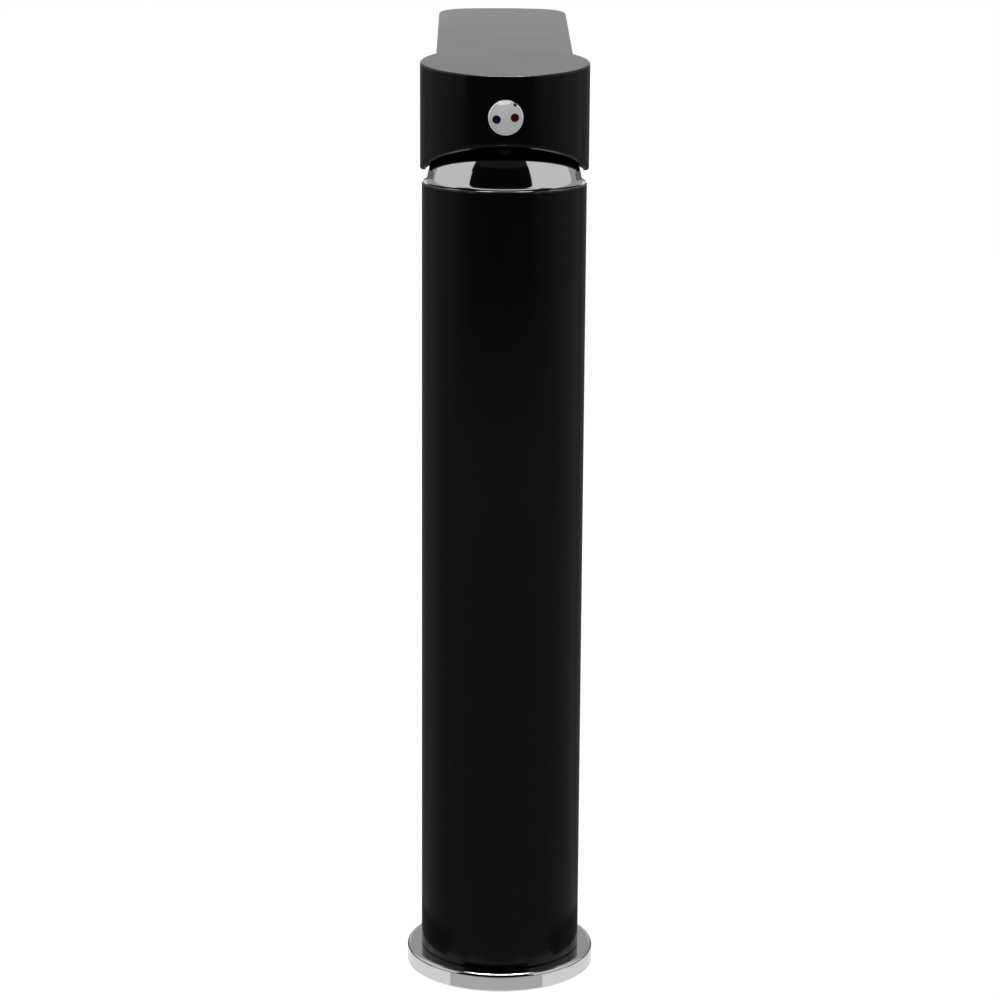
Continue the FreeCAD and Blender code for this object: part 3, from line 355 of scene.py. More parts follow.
def make_black_coat():
    material, tree, shader, place = start_material("black_coat", IOR=1.36)
    haze = put_group(tree, hand_haze, place, Size=34.0, Amount=1.0)
    dust = put_group(tree, settled_dust, place, Grain=1500.0, Amount=0.12)
    edges = put_group(tree, rubbed_edges, place, Breaks=140.0, Amount=0.5)
    shades = noise(tree, place, scale=60.0, detail=3.0)
    coat = blend_colours(tree, shades, (0.0016, 0.0016, 0.0017), (0.0026, 0.0026, 0.0027))
    rubbed = blend_colours(tree, edges, coat, (0.007, 0.007, 0.0075))
    dusty = blend_colours(tree, dust, rubbed, (0.035, 0.034, 0.033))
    join(tree, dusty, shader.inputs["Base Color"])
    base = spread(tree, haze, 0.0, 1.0, new_low=0.15, new_high=0.18)
    smoother = maths(tree, "MULTIPLY", edges, 0.03)
    join(tree, maths(tree, "SUBTRACT", base, smoother), shader.inputs["Roughness"])
    waves = put_group(tree, coat_waves, place, Fine=2600.0, Broad=700.0, Share=0.45)
    raise_surface(tree, shader, waves, 4 * MICRON)
    return material


black_coat = make_black_coat()
print("material", black_coat.name)

# %% [markdown]
# ## Polished plating
#
# The foot ring and the ball collar are brass, polished and then plated. A
# plated surface is a mirror with a bluish grey tint that swallows a good part
# of the light, so its colour is well below white. Its faults are small: long
# shallow waves from the buffing wheel and a slight haze.

# %% Polished plating


def make_plating():
    material, tree, shader, place = start_material("polished_plating", Metallic=1.0)
    haze = put_group(tree, hand_haze, place, Size=55.0, Amount=1.0)
    tint = blend_colours(tree, haze, (0.69, 0.697, 0.705), (0.66, 0.668, 0.676))
    dust = put_group(tree, settled_dust, place, Grain=1400.0, Amount=0.06)
    dusty = blend_colours(tree, dust, tint, (0.5, 0.5, 0.49))
    join(tree, dusty, shader.inputs["Base Color"])
    vary_roughness(tree, shader, haze, 0.035, 0.06)
    waves = put_group(tree, coat_waves, place, Fine=900.0, Broad=160.0, Share=0.7)
    raise_surface(tree, shader, waves, 1.5 * MICRON)
    return material


plating = make_plating()
print("material", plating.name)

# %% [markdown]
# ## Turned brass and steel
#
# The foot block, the valve block, the nut and the stem are bare brass from
# the lathe, and the small screws and the pin are stainless steel. Both show
# the fine rings of the cutting tool and a slightly blotchy colour.

# %% Turned brass and steel


def make_turned_metal(name, bright, dull, smooth, rough, pitch):
    material, tree, shader, place = start_material(name, Metallic=1.0)
    haze = put_group(tree, hand_haze, place, Size=90.0, Amount=1.0)
    edges = put_group(tree, rubbed_edges, place, Breaks=200.0, Amount=0.8)
    blotchy = blend_colours(tree, haze, bright, dull)
    brighter = tuple(min(1.0, channel * 1.15) for channel in bright)
    rubbed = blend_colours(tree, edges, blotchy, brighter)
    join(tree, rubbed, shader.inputs["Base Color"])
    vary_roughness(tree, shader, haze, smooth, rough)
    rings = put_group(tree, lathe_rings, place, Pitch=pitch)
    raise_surface(tree, shader, rings, 10 * MICRON, strength=0.6)
    return material


turned_brass = make_turned_metal(
    "turned_brass", bright=(0.72, 0.53, 0.25), dull=(0.58, 0.42, 0.2),
    smooth=0.24, rough=0.4, pitch=800.0)
turned_steel = make_turned_metal(
    "turned_steel", bright=(0.58, 0.58, 0.57), dull=(0.48, 0.48, 0.47),
    smooth=0.2, rough=0.34, pitch=1400.0)
print("materials", turned_brass.name, turned_steel.name)

# %% [markdown]
# ## Rubber, plastics and ceramic
#
# The seals are moulded rubber, dull and faintly dusty. The cartridge and the
# flow straightener are moulded plastic with a fine spark-eroded skin. The two
# discs are lapped ceramic, as smooth as glass and creamy white.

# %% Rubber, plastics and ceramic


def make_moulded(name, colour, spots, smooth, rough, grain, height):
    material, tree, shader, place = start_material(name)
    haze = put_group(tree, hand_haze, place, Size=70.0, Amount=1.0)
    dust = put_group(tree, settled_dust, place, Grain=1200.0, Amount=0.15)
    mottled = blend_colours(tree, haze, colour, spots)
    dusty = blend_colours(tree, dust, mottled, (0.35, 0.34, 0.32))
    join(tree, dusty, shader.inputs["Base Color"])
    vary_roughness(tree, shader, haze, smooth, rough)
    skin = put_group(tree, coat_waves, place, Fine=grain, Broad=grain / 6.0, Share=0.3)
    raise_surface(tree, shader, skin, height)
    return material


seal_rubber = make_moulded(
    "seal_rubber", colour=(0.018, 0.018, 0.018), spots=(0.028, 0.027, 0.026),
    smooth=0.55, rough=0.72, grain=2400.0, height=20 * MICRON)
white_plastic = make_moulded(
    "white_plastic", colour=(0.76, 0.76, 0.73), spots=(0.7, 0.7, 0.66),
    smooth=0.38, rough=0.5, grain=2800.0, height=10 * MICRON)
grey_plastic = make_moulded(
    "grey_plastic", colour=(0.3, 0.31, 0.32), spots=(0.25, 0.26, 0.27),
    smooth=0.36, rough=0.5, grain=2800.0, height=10 * MICRON)
lapped_ceramic = make_moulded(
    "lapped_ceramic", colour=(0.86, 0.84, 0.79), spots=(0.8, 0.78, 0.73),
    smooth=0.08, rough=0.14, grain=3200.0, height=2 * MICRON)
print("materials", seal_rubber.name, white_plastic.name, grey_plastic.name, lapped_ceramic.name)

# %% [markdown]
# ## Colour marks and the plug's face
#
# The two dots are drops of dark enamel, nearly black until one looks
# straight at them: navy for cold and deep red for hot. The plug's face is a
# silver-grey lacquer, and its rim gets a lighter copy of it. The flat at its
# top gets the same lighter copy as a painted highlight, since it faces up.
# Lacquer stays light where a mirror would show the dark room in front.

# %% Enamel and silver lacquer


def make_enamel(name, deep, bright):
    material, tree, shader, place = start_material(name, Coat_Weight=0.15)
    swirl = noise(tree, place, scale=700.0, detail=2.0)
    join(tree, blend_colours(tree, swirl, deep, bright), shader.inputs["Base Color"])
    haze = put_group(tree, hand_haze, place, Size=400.0, Amount=1.0)
    vary_roughness(tree, shader, haze, 0.12, 0.2)
    waves = put_group(tree, coat_waves, place, Fine=2200.0, Broad=900.0, Share=0.6)
    raise_surface(tree, shader, waves, 4 * MICRON)
    return material


def make_silver_lacquer(name, dull, bright, flake):
    material, tree, shader, place = start_material(name, Coat_Weight=0.5)
    flakes = noise(tree, place, scale=5200.0, detail=1.0)
    clouds = noise(tree, place, scale=320.0, detail=3.0)
    base = blend_colours(tree, clouds, dull, bright)
    sparkle = spread(tree, flakes, low=0.62, high=0.75)
    join(tree, blend_colours(tree, sparkle, base, flake), shader.inputs["Base Color"])
    haze = put_group(tree, hand_haze, place, Size=300.0, Amount=1.0)
    vary_roughness(tree, shader, haze, 0.3, 0.4)
    waves = put_group(tree, coat_waves, place, Fine=4200.0, Broad=1200.0, Share=0.3)
    raise_surface(tree, shader, waves, 3 * MICRON)
    return material


cold_enamel = make_enamel(
    "cold_enamel", deep=(0.0030, 0.0022, 0.020), bright=(0.005, 0.004, 0.035))
hot_enamel = make_enamel(
    "hot_enamel", deep=(0.040, 0.0006, 0.0015), bright=(0.065, 0.001, 0.0025))
silver_lacquer = make_silver_lacquer(
    "silver_lacquer", dull=(0.555, 0.56, 0.557), bright=(0.605, 0.61, 0.605),
    flake=(0.7, 0.705, 0.71))
# A lighter copy of the silver lacquer for the plug's rim; on the plug's flat it is a painted
# highlight.
rim_and_highlight_lacquer = make_silver_lacquer(
    "rim_and_highlight_lacquer", dull=(0.8, 0.805, 0.8), bright=(0.85, 0.855, 0.85),
    flake=(0.9, 0.9, 0.9))
print("materials", cold_enamel.name, hot_enamel.name, silver_lacquer.name, rim_and_highlight_lacquer.name)

# %% [markdown]
# ## Finishes on the CAD pieces
#
# A CAD piece whose shape is right keeps its mesh and only gets its finish.
# The record names the finish of each piece, so the pieces are matched to the
# materials through those names.

# %% Put the finishes on
finishes = {
    "black_paint": black_coat,
    "chrome": plating,
    "brass": turned_brass,
    "steel": turned_steel,
    "rubber": seal_rubber,
    "white_plastic": white_plastic,
    "grey_plastic": grey_plastic,
    "ceramic": lapped_ceramic,
    "blue_mark": cold_enamel,
    "red_mark": hot_enamel,
}
for row in frame["record"]["subparts"]:
    piece = nodes[row["node"]]
    piece.data.materials.clear()
    piece.data.materials.append(finishes[row["material_slot"]])

# %% [markdown]
# ## Turning a piece
#
# Most small pieces here come off a lathe, so they are made like that: a
# closed outline is drawn on one side of the axis and spun once round it. Each
# corner of the outline may have a rounding. A pair of extra points close to
# such a corner keeps the flat faces beside it flat in the light, and the
# bevel operator then rounds the whole ring edge at once.

# %% A lathe made of bmesh operators
origin = Vector((0.0, 0.0, 0.0))
upwards = Vector((0.0, 0.0, 1.0))
# Faces round a whole turn: the foot ring and the collar get the finer ones.
fine_steps = 192
small_steps = 96
guard_share = 1.3
merge_distance = 1e-7
level_slack = 2e-6
radius_slack = 4e-6


def closed_outline(bm, corners):
    # A corner is its radius, its height and its rounding, in millimetres.
    points = []
    for index, (radius, height, rounding) in enumerate(corners):
        here = Vector((radius, 0.0, height))
        guards = []
        for neighbour in (corners[index - 1], corners[(index + 1) % len(corners)]):
            there = Vector((neighbour[0], 0.0, neighbour[1]))
            guards.append(here + (there - here).normalized() * rounding * guard_share)
        points += [guards[0], here, guards[1]] if rounding > 0.0 else [here]
    verts = [bm.verts.new(point * MM) for point in points]
    edges = [bm.edges.new((verts[i - 1], verts[i])) for i in range(len(verts))]
    return verts + edges


def spin_round(bm, geometry, steps):
    bmesh.ops.spin(
        bm, geom=geometry, cent=origin, axis=upwards, angle=2.0 * math.pi, steps=steps,
        use_merge=True, use_duplicate=False)
    bmesh.ops.remove_doubles(bm, verts=bm.verts, dist=merge_distance)
    bmesh.ops.recalc_face_normals(bm, faces=bm.faces)


def ring_edges(bm, radius, height):
    found = []
    for edge in bm.edges:
        ends = [v.co for v in edge.verts]
        level = all(abs(co.z - height * MM) < level_slack for co in ends)
        near = all(abs(math.hypot(co.x, co.y) - radius * MM) < radius_slack for co in ends)
        if level and near:
            found.append(edge)
    return found


def round_rings(bm, corners, segments):
    for radius, height, rounding in corners:
        if rounding > 0.0:
            bmesh.ops.bevel(
                bm, geom=ring_edges(bm, radius, height), offset=rounding * MM,
                offset_type="OFFSET", segments=segments, profile=0.5,
                affect="EDGES", material=-1, clamp_overlap=True)


def push_faces(bm, faces, upward):
    # The faces are drawn along the axis into a block or a pocket with side walls.
    pushed = bmesh.ops.extrude_face_region(bm, geom=faces)
    moved = [item for item in pushed["geom"] if isinstance(item, bmesh.types.BMVert)]
    bmesh.ops.translate(bm, verts=moved, vec=upwards * upward * MM)


def to_piece(bm, name, material, sharp_degrees=25.0):
    mesh = bpy.data.meshes.new(name)
    bm.to_mesh(mesh)
    bm.free()
    mesh.shade_smooth()
    mesh.set_sharp_from_angle(angle=math.radians(sharp_degrees))
    mesh.materials.append(material)
    piece = bpy.data.objects.new(name, mesh)
    bpy.context.scene.collection.objects.link(piece)
    print(name, "faces", len(mesh.polygons))
    return piece


print("lathe ready")

# %% [markdown]
# ## Foot ring
#
# The tube stands on a plated ring. Its upper edge is rounded by about a
# millimetre, and that narrow curve is what draws the bright line round the
# foot. Underneath is the recess for the flange of the foot block.

# %% Foot ring
ring_radius = 29.5
ring_height = foot_top / MM
ring_bore = 22.58
pocket_radius = 26.5
pocket_height = 3.0
ring_corners = [
    (pocket_radius, 0.0, 0.15),
    (ring_radius, 0.0, 0.3),
    (ring_radius, ring_height, 1.1),
    (ring_bore, ring_height, 0.0),
    (ring_bore, pocket_height, 0.0),
    (pocket_radius, pocket_height, 0.0),
]
bm = bmesh.new()
spin_round(bm, closed_outline(bm, ring_corners), fine_steps)
round_rings(bm, ring_corners, segments=10)
foot_ring = to_piece(bm, "foot_ring", plating)
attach(foot_ring, "mixer_body")
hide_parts("base_ring")

# %% [markdown]
# ## Ball collar
#
# Between the tube and the lever sits a plated collar. Its outside is a ball
# round a point just below the lever's pivot, so the cap can tip over it, and
# it sweeps out at its foot in a small hollow curve to meet the tube's rim.
# Curves are made the way they are drawn with compasses: a point is spun about
# the curve's middle, and the track of the point is the curve.

# %% Drawing with straight lines and swings


def draw_outline(bm, moves):
    # A move of two numbers is a straight line to that radius and height. A move of
    # four is a swing about a middle: the middle's radius and height, degrees, steps.
    first = None
    last = None
    for move in moves:
        if len(move) == 2:
            vert = bm.verts.new(Vector((move[0], 0.0, move[1])) * MM)
            if last is not None:
                bm.edges.new((last, vert))
        else:
            track = bmesh.ops.spin(
                bm, geom=[last], cent=Vector((move[0], 0.0, move[1])) * MM,
                axis=(0.0, 1.0, 0.0), angle=math.radians(move[2]), steps=move[3],
                use_merge=False, use_duplicate=False)
            ends = track["geom_last"]
            vert = [item for item in ends if isinstance(item, bmesh.types.BMVert)][0]
        first = first or vert
        last = vert
    return first, last


print("outline helper ready")

# %% Lengths of the ball collar
rim_level = rim_height / MM
ball_drop = 2.0
ball_middle = rim_level - ball_drop
ball_radius = 23.6
inner_ball = 21.9
flare_radius = 2.0
flare_rise = 2.12
flare_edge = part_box("dome_collar")[1].x / MM
flare_guard = 0.3
open_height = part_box("dome_collar")[1].z / MM - ball_middle
spigot_radius = 22.42
spigot_depth = 7.0
seal_groove_low = 4.1
seal_groove_high = 2.9
seal_groove_depth = 0.6
collar_bore = 20.58
bore_rise = 1.0

# The flare's curve touches the ball, so its middle lies one flare radius outside it.
flare_span = ball_radius + flare_radius
ball_low = math.degrees(math.asin((flare_rise + ball_drop) / flare_span))
flare_ring = flare_span * math.cos(math.radians(ball_low))
flare_inset = flare_ring - flare_edge
flare_base = flare_rise - math.sqrt(flare_radius ** 2 - flare_inset ** 2)
flare_swing = math.degrees(math.acos(flare_inset / flare_radius)) - ball_low
ball_high = math.degrees(math.asin(open_height / ball_radius))
inner_high = math.degrees(math.asin(open_height / inner_ball))
inner_low = math.degrees(math.asin((ball_drop + bore_rise) / inner_ball))
print("ball from", round(ball_low, 1), "to", round(ball_high, 1), "degrees")

# %% Ball collar
bm = bmesh.new()
collar_start, collar_end = draw_outline(bm, [
    (collar_bore, rim_level + bore_rise),
    (collar_bore, rim_level - spigot_depth),
    (spigot_radius, rim_level - spigot_depth),
    (spigot_radius, rim_level - seal_groove_low),
    (spigot_radius - seal_groove_depth, rim_level - seal_groove_low),
    (spigot_radius - seal_groove_depth, rim_level - seal_groove_high),
    (spigot_radius, rim_level - seal_groove_high),
    (spigot_radius, rim_level),
    (flare_edge - flare_guard, rim_level),
    (flare_edge, rim_level),
    (flare_edge, rim_level + flare_base),
    (flare_ring, rim_level + flare_rise, flare_swing, 12),
    (0.0, ball_middle, ball_low - ball_high, 44),
    (math.sqrt(inner_ball ** 2 - open_height ** 2), ball_middle + open_height),
    (0.0, ball_middle, inner_high - inner_low, 24),
])
bm.edges.new((collar_end, collar_start))
spin_round(bm, bm.verts[:] + bm.edges[:], fine_steps)
ball_collar = to_piece(bm, "ball_collar", plating, sharp_degrees=22.0)
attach(ball_collar, "mixer_body")
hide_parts("dome_collar")

# %% [markdown]
# ## Colour plug
#
# A small round plug closes the screw hole in the back of the lever's cap. Its
# face is slightly domed, with a fine groove and a rim round it in a lighter
# lacquer. A shallow flat is cut across its top, where a blade gets behind the
# plug to pry it out, and a small notch beside it holds the blade. The flat
# faces up more than the rest, so it gets the rim's lighter lacquer as a painted
# highlight. The plug is turned on the same lathe, standing up, then laid over
# so that its axis points backwards, and the flat is cut last.

# %% Lengths of the colour plug
plug_height = (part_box("indicator_plug")[0].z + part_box("indicator_plug")[1].z) / 2
plug_radius = 5.2
plug_seat = 22.3
plug_front = 26.3
plug_ball = 25.0
face_radius = 4.68
groove_width = 0.09
groove_depth = 0.09
groove_taper = 0.02
rim_width = 0.12
rim_inner = face_radius + groove_width
rim_outer = plug_radius - rim_width
notch_inner = 4.3
notch_start = 50.0
notch_end = 61.0
notch_depth = 0.9
front_slack = 0.12
flat_up = 3.87
flat_slope = 66.0
plug_roll = 5.8


def lay_back(bm, across=0.0, upward=0.0):
    quarter_turn = Matrix.Rotation(math.radians(90.0), 3, "X")
    bmesh.ops.rotate(bm, verts=bm.verts, cent=origin, matrix=quarter_turn)
    bmesh.ops.translate(bm, verts=bm.verts, vec=(across, 0.0, plug_height + upward))


def dome_height(radius):
    return plug_front - plug_ball + math.sqrt(plug_ball ** 2 - radius ** 2)


print("plug's middle at", round(plug_height, 4))

# %% Colour plug turned, with its notch
plug_swing = -math.degrees(math.asin(face_radius / plug_ball))
bm = bmesh.new()
draw_outline(bm, [
    (0.0, plug_seat),
    (plug_radius, plug_seat),
    (plug_radius, dome_height(rim_outer) - 2 * rim_width),
    (plug_radius, dome_height(rim_outer) - rim_width),
    (rim_outer, dome_height(rim_outer)),
    (rim_inner, dome_height(rim_inner)),
    (rim_inner - groove_taper, dome_height(rim_inner) - groove_depth),
    (face_radius + groove_taper, dome_height(face_radius) - groove_depth),
    (face_radius, dome_height(face_radius)),
    (0.0, plug_front - plug_ball, plug_swing, 12),
])
spin_round(bm, bm.verts[:] + bm.edges[:], small_steps)

notch_faces = []
for face in bm.faces:
    middle = face.calc_center_median() / MM
    bearing = math.degrees(math.atan2(middle.y, middle.x))
    away = math.hypot(middle.x, middle.y)
    in_front = middle.z > dome_height(away) - front_slack
    if in_front and notch_inner < away < rim_outer and notch_start < bearing < notch_end:
        notch_faces.append(face)
push_faces(bm, notch_faces, -notch_depth)
bmesh.ops.delete(bm, geom=notch_faces, context="FACES_ONLY")
lay_back(bm)
print("faces in the notch", len(notch_faces))

# %% Flat at the plug's top
flat_spot = Vector((0.0, -dome_height(flat_up) * MM, plug_height + flat_up * MM))
flat_normal = Vector((
    -math.cos(math.radians(flat_slope)) * math.sin(math.radians(plug_roll)),
    -math.sin(math.radians(flat_slope)),
    math.cos(math.radians(flat_slope)) * math.cos(math.radians(plug_roll))))
sliced = bmesh.ops.bisect_plane(
    bm, geom=bm.verts[:] + bm.edges[:] + bm.faces[:], dist=merge_distance,
    plane_co=flat_spot, plane_no=flat_normal, clear_outer=True)
open_edges = [e for e in sliced["geom_cut"] if isinstance(e, bmesh.types.BMEdge)]
flat_faces = bmesh.ops.triangle_fill(
    bm, edges=open_edges, use_beauty=True, use_dissolve=True, normal=flat_normal)
bmesh.ops.recalc_face_normals(bm, faces=bm.faces)
flat_count = sum(isinstance(item, bmesh.types.BMFace) for item in flat_faces["geom"])
print("faces on the flat", flat_count)

# %% Finishes of the colour plug
flat_low = 3.5
along_flat = 0.9995
skin_slack = 0.03
rim_slack = 0.01
colour_plug = to_piece(bm, "colour_plug", plating, sharp_degrees=20.0)
colour_plug.data.materials.append(silver_lacquer)
colour_plug.data.materials.append(rim_and_highlight_lacquer)
silver_slot = colour_plug.data.materials.find(silver_lacquer.name)
rim_and_highlight_slot = colour_plug.data.materials.find(rim_and_highlight_lacquer.name)
for face in colour_plug.data.polygons:
    away = math.hypot(face.center.x, face.center.z - plug_height) / MM
    high_up = face.center.z > plug_height + flat_low * MM
    on_flat = high_up and face.normal.dot(flat_normal) > along_flat
    outermost = -face.center.y / MM >= dome_height(away) - skin_slack
    on_skin = outermost and face.normal.y <= -0.5
    # The rim and the flat get the lighter lacquer; on the flat it is a painted highlight.
    if on_flat or (on_skin and away > rim_inner - rim_slack):
        face.material_index = rim_and_highlight_slot
    elif on_skin and away < face_radius:
        face.material_index = silver_slot
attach(colour_plug, "lever")
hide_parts("indicator_plug")

# %% [markdown]
# ## Enamel dots
#
# The two colour dots are drops of enamel: they stand a hair above the plug's
# face and their skin is slightly domed. Each is a low disc from the lathe
# whose top is one swing of a point, placed where the CAD model has its dot.
# The plug's face falls away from its middle, so each disc is then let down
# onto that curve, corner by corner.

# %% Enamel dots
dot_crown = 0.12
dot_lift = 0.02
dot_depth = 0.5


def enamel_dot(name, node, material):
    low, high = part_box(node)
    radius = (high.x - low.x) / 2 / MM
    across = (high.x + low.x) / 2
    upward = (high.z + low.z) / 2 - plug_height
    away = math.hypot(across, upward) / MM
    skin = dome_height(away)
    crown_ball = (radius ** 2 + dot_crown ** 2) / (2 * dot_crown)
    crown_swing = -math.degrees(math.asin(radius / crown_ball))
    bm = bmesh.new()
    draw_outline(bm, [
        (0.0, skin - dot_depth),
        (radius, skin - dot_depth),
        (radius, skin + dot_lift),
        (0.0, skin + dot_lift + dot_crown - crown_ball, crown_swing, 8),
    ])
    spin_round(bm, bm.verts[:] + bm.edges[:], steps=48)
    lay_back(bm, across, upward)
    for vert in bm.verts:
        spot = math.hypot(vert.co.x, vert.co.z - plug_height) / MM
        vert.co.y -= (dome_height(spot) - skin) * MM
    dot = to_piece(bm, name, material, sharp_degrees=40.0)
    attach(dot, "lever")
    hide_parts(node)
    return dot


cold_dot = enamel_dot("cold_dot", "cold_mark", cold_enamel)
hot_dot = enamel_dot("hot_dot", "hot_mark", hot_enamel)

# %% [markdown]
# ## Aerator
#
# The water leaves through a screwed ring under the spout. It has a rounded
# mouth and four small pockets for its key, and behind it sits a honeycomb that
# straightens the stream. Its cells are hexagons laid out in rows, each one
# inset by half a wall. Their insides are taken out, and what is left is drawn
# upwards into walls. The hexagons are turned by 30 degrees against their rows,
# so the walls of neighbours cross near the corners.

# %% Lengths of the aerator
outlet = (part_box("aerator_housing")[0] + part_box("aerator_housing")[1]) / 2
aerator_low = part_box("aerator_housing")[0].z / MM
aerator_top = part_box("aerator_housing")[1].z / MM
aerator_radius = 9.22
aerator_bore = 7.72
mouth_radius = 6.97
mouth_height = 1.5
mouth_round = 0.3
key_inner = 7.4
key_outer = 8.8
key_start = 37.0
key_end = 53.0
key_depth = 0.8
aerator_corners = [
    (mouth_radius, aerator_low, mouth_round),
    (aerator_radius, aerator_low, mouth_round),
    (aerator_radius, aerator_top, 0.0),
    (aerator_bore, aerator_top, 0.0),
    (aerator_bore, aerator_low + mouth_height, 0.0),
    (mouth_radius, aerator_low + mouth_height, 0.0),
]


def under_outlet(bm):
    bmesh.ops.translate(bm, verts=bm.verts, vec=(outlet.x, outlet.y, 0.0))


print("outlet at", round(outlet.y, 4), "from the tube's axis")

# %% Aerator ring
bm = bmesh.new()
spin_round(bm, closed_outline(bm, aerator_corners), small_steps)
round_rings(bm, aerator_corners, segments=5)
pocket_faces = []
for face in bm.faces:
    middle = face.calc_center_median()
    bearing = math.degrees(math.atan2(middle.y, middle.x)) % 90.0
    level = abs(middle.z - aerator_low * MM) < level_slack
    away = math.hypot(middle.x, middle.y) / MM
    if level and key_inner < away < key_outer and key_start < bearing < key_end:
        pocket_faces.append(face)
push_faces(bm, pocket_faces, key_depth)
bmesh.ops.delete(bm, geom=pocket_faces, context="FACES_ONLY")
bmesh.ops.recalc_face_normals(bm, faces=bm.faces)
under_outlet(bm)
aerator_ring = to_piece(bm, "aerator_ring", plating)
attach(aerator_ring, "mixer_body")
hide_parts("aerator_housing")

# %% Honeycomb cells
cell_radius = 1.0
cell_wall = 0.16
cell_rows = 5
comb_low = aerator_low + mouth_height
comb_height = 6.0
comb_outside = 7.64
comb_margin = 0.35
wall_sink = 0.4
row_step = cell_radius * 1.5
column_step = cell_radius * math.sqrt(3.0)
cell_turn = Matrix.Rotation(math.radians(30.0), 4, "Z")

bm = bmesh.new()
for column in range(-cell_rows, cell_rows + 1):
    for row in range(-cell_rows, cell_rows + 1):
        across = column_step * (column + 0.5 * (row % 2))
        along = row_step * row
        if math.hypot(across, along) + cell_radius > comb_outside - comb_margin:
            continue
        spot = Matrix.Translation(Vector((across, along, comb_low + wall_sink)) * MM)
        bmesh.ops.create_circle(
            bm, cap_ends=True, cap_tris=False, segments=6, radius=cell_radius * MM,
            matrix=spot @ cell_turn)
bmesh.ops.remove_doubles(bm, verts=bm.verts, dist=0.02 * MM)
cells = bm.faces[:]
bmesh.ops.inset_individual(
    bm, faces=cells, thickness=cell_wall / 2 * MM, use_even_offset=True)
bmesh.ops.delete(bm, geom=cells, context="FACES_ONLY")
push_faces(bm, bm.faces[:], comb_height - 2 * wall_sink)
bmesh.ops.recalc_face_normals(bm, faces=bm.faces)
print("honeycomb cells", len(cells))

# %% Rim of the honeycomb
comb_high = comb_low + comb_height
comb_inside = comb_outside - 0.7
comb_round = 0.1
comb_corners = [
    (comb_inside, comb_low, comb_round),
    (comb_outside, comb_low, comb_round),
    (comb_outside, comb_high, 0.0),
    (comb_inside, comb_high, 0.0),
]
rim_bm = bmesh.new()
spin_round(rim_bm, closed_outline(rim_bm, comb_corners), steps=72)
round_rings(rim_bm, comb_corners, segments=3)
rim_mesh = bpy.data.meshes.new("comb_rim")
rim_bm.to_mesh(rim_mesh)
rim_bm.free()
bm.from_mesh(rim_mesh)
bpy.data.meshes.remove(rim_mesh)
under_outlet(bm)
stream_comb = to_piece(bm, "stream_comb", grey_plastic)
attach(stream_comb, "mixer_body")
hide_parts("aerator_insert")

# %% [markdown]
# ## Floor and backdrop
#
# The tap stands on a plain pale floor that runs on without an edge, so the
# picture is white all round it. White is not reached by pouring more light on
# the object. The floor and the world simply show white to the camera, to
# mirrors and to glass, through the Light Path node, while the rest of the
# floor's look is an ordinary matt surface that takes the tap's shadow.

# %% Floor and world
paper_colour = (0.82, 0.82, 0.82, 1.0)
paper_glow = 1.19
floor_share = 0.78
floor_radius = 14.0
floor_drop = 0.05 * MM
plain_light = 0.42


def seen_directly(tree):
    path = add_node(tree, "ShaderNodeLightPath")
    first = maths(tree, "MAXIMUM", path.outputs["Is Camera Ray"], path.outputs["Is Glossy Ray"])
    return maths(tree, "MAXIMUM", first, path.outputs["Is Transmission Ray"])


def make_floor_paper():
    material = bpy.data.materials.new("floor_paper")
    material.use_nodes = True
    tree = material.node_tree
    paper = tree.nodes["Principled BSDF"]
    paper.inputs["Base Color"].default_value = paper_colour
    paper.inputs["Roughness"].default_value = 0.9
    paper.inputs["Specular IOR Level"].default_value = 0.0
    glow = add_node(tree, "ShaderNodeEmission")
    glow.inputs["Strength"].default_value = paper_glow
    mix = add_node(tree, "ShaderNodeMixShader")
    share = maths(tree, "MULTIPLY", seen_directly(tree), floor_share)
    join(tree, share, mix.inputs["Fac"])
    join(tree, paper.outputs[0], mix.inputs[1])
    join(tree, glow.outputs[0], mix.inputs[2])
    join(tree, mix.outputs[0], tree.nodes["Material Output"].inputs["Surface"])
    return material


bm = bmesh.new()
bmesh.ops.create_circle(
    bm, cap_ends=True, cap_tris=False, segments=96, radius=floor_radius,
    matrix=Matrix.Translation(-upwards * floor_drop))
floor = to_piece(bm, "floor", make_floor_paper())

world = bpy.data.worlds.new("studio")
world.use_nodes = True
bpy.context.scene.world = world
sky = world.node_tree.nodes["Background"]
seen = seen_directly(world.node_tree)
brightness = spread(world.node_tree, seen, 0.0, 1.0, new_low=plain_light, new_high=1.0)
join(world.node_tree, brightness, sky.inputs["Strength"])
sky.inputs["Color"].default_value = (1.0, 1.0, 1.0, 1.0)
print("floor and world ready")

# %% [markdown]
# ## Softbox
#
# One softbox hangs over the tap's back. It lights what is matt and draws the
# soft shadow on the floor. Mirrors don't show it, because every reflection
# here is drawn by a card of its own.

# %% Softbox
softbox_side = 0.42
softbox_power = 10.0
softbox_place = (0.0, -0.25, 1.4)
softbox_light = bpy.data.lights.new("softbox", "AREA")
softbox_light.shape = "RECTANGLE"
softbox_light.size = softbox_side
softbox_light.size_y = softbox_side
softbox_light.energy = softbox_power
softbox = bpy.data.objects.new("softbox", softbox_light)
softbox.location = softbox_place
softbox.visible_glossy = False
bpy.context.scene.collection.objects.link(softbox)
print("softbox", softbox_light.energy, "W")

# %% [markdown]
# ## Cards
#
# Polished and satin surfaces are lit by what they mirror, so a photographer
# stands cards round them and lays cloth on the floor. A card here is a plain
# glowing sheet that only shows in reflections: it casts no shadow and gives no
# light to matt surfaces. So each card can be moved or dimmed without changing
# anything but its own reflection.

# %% Card helpers


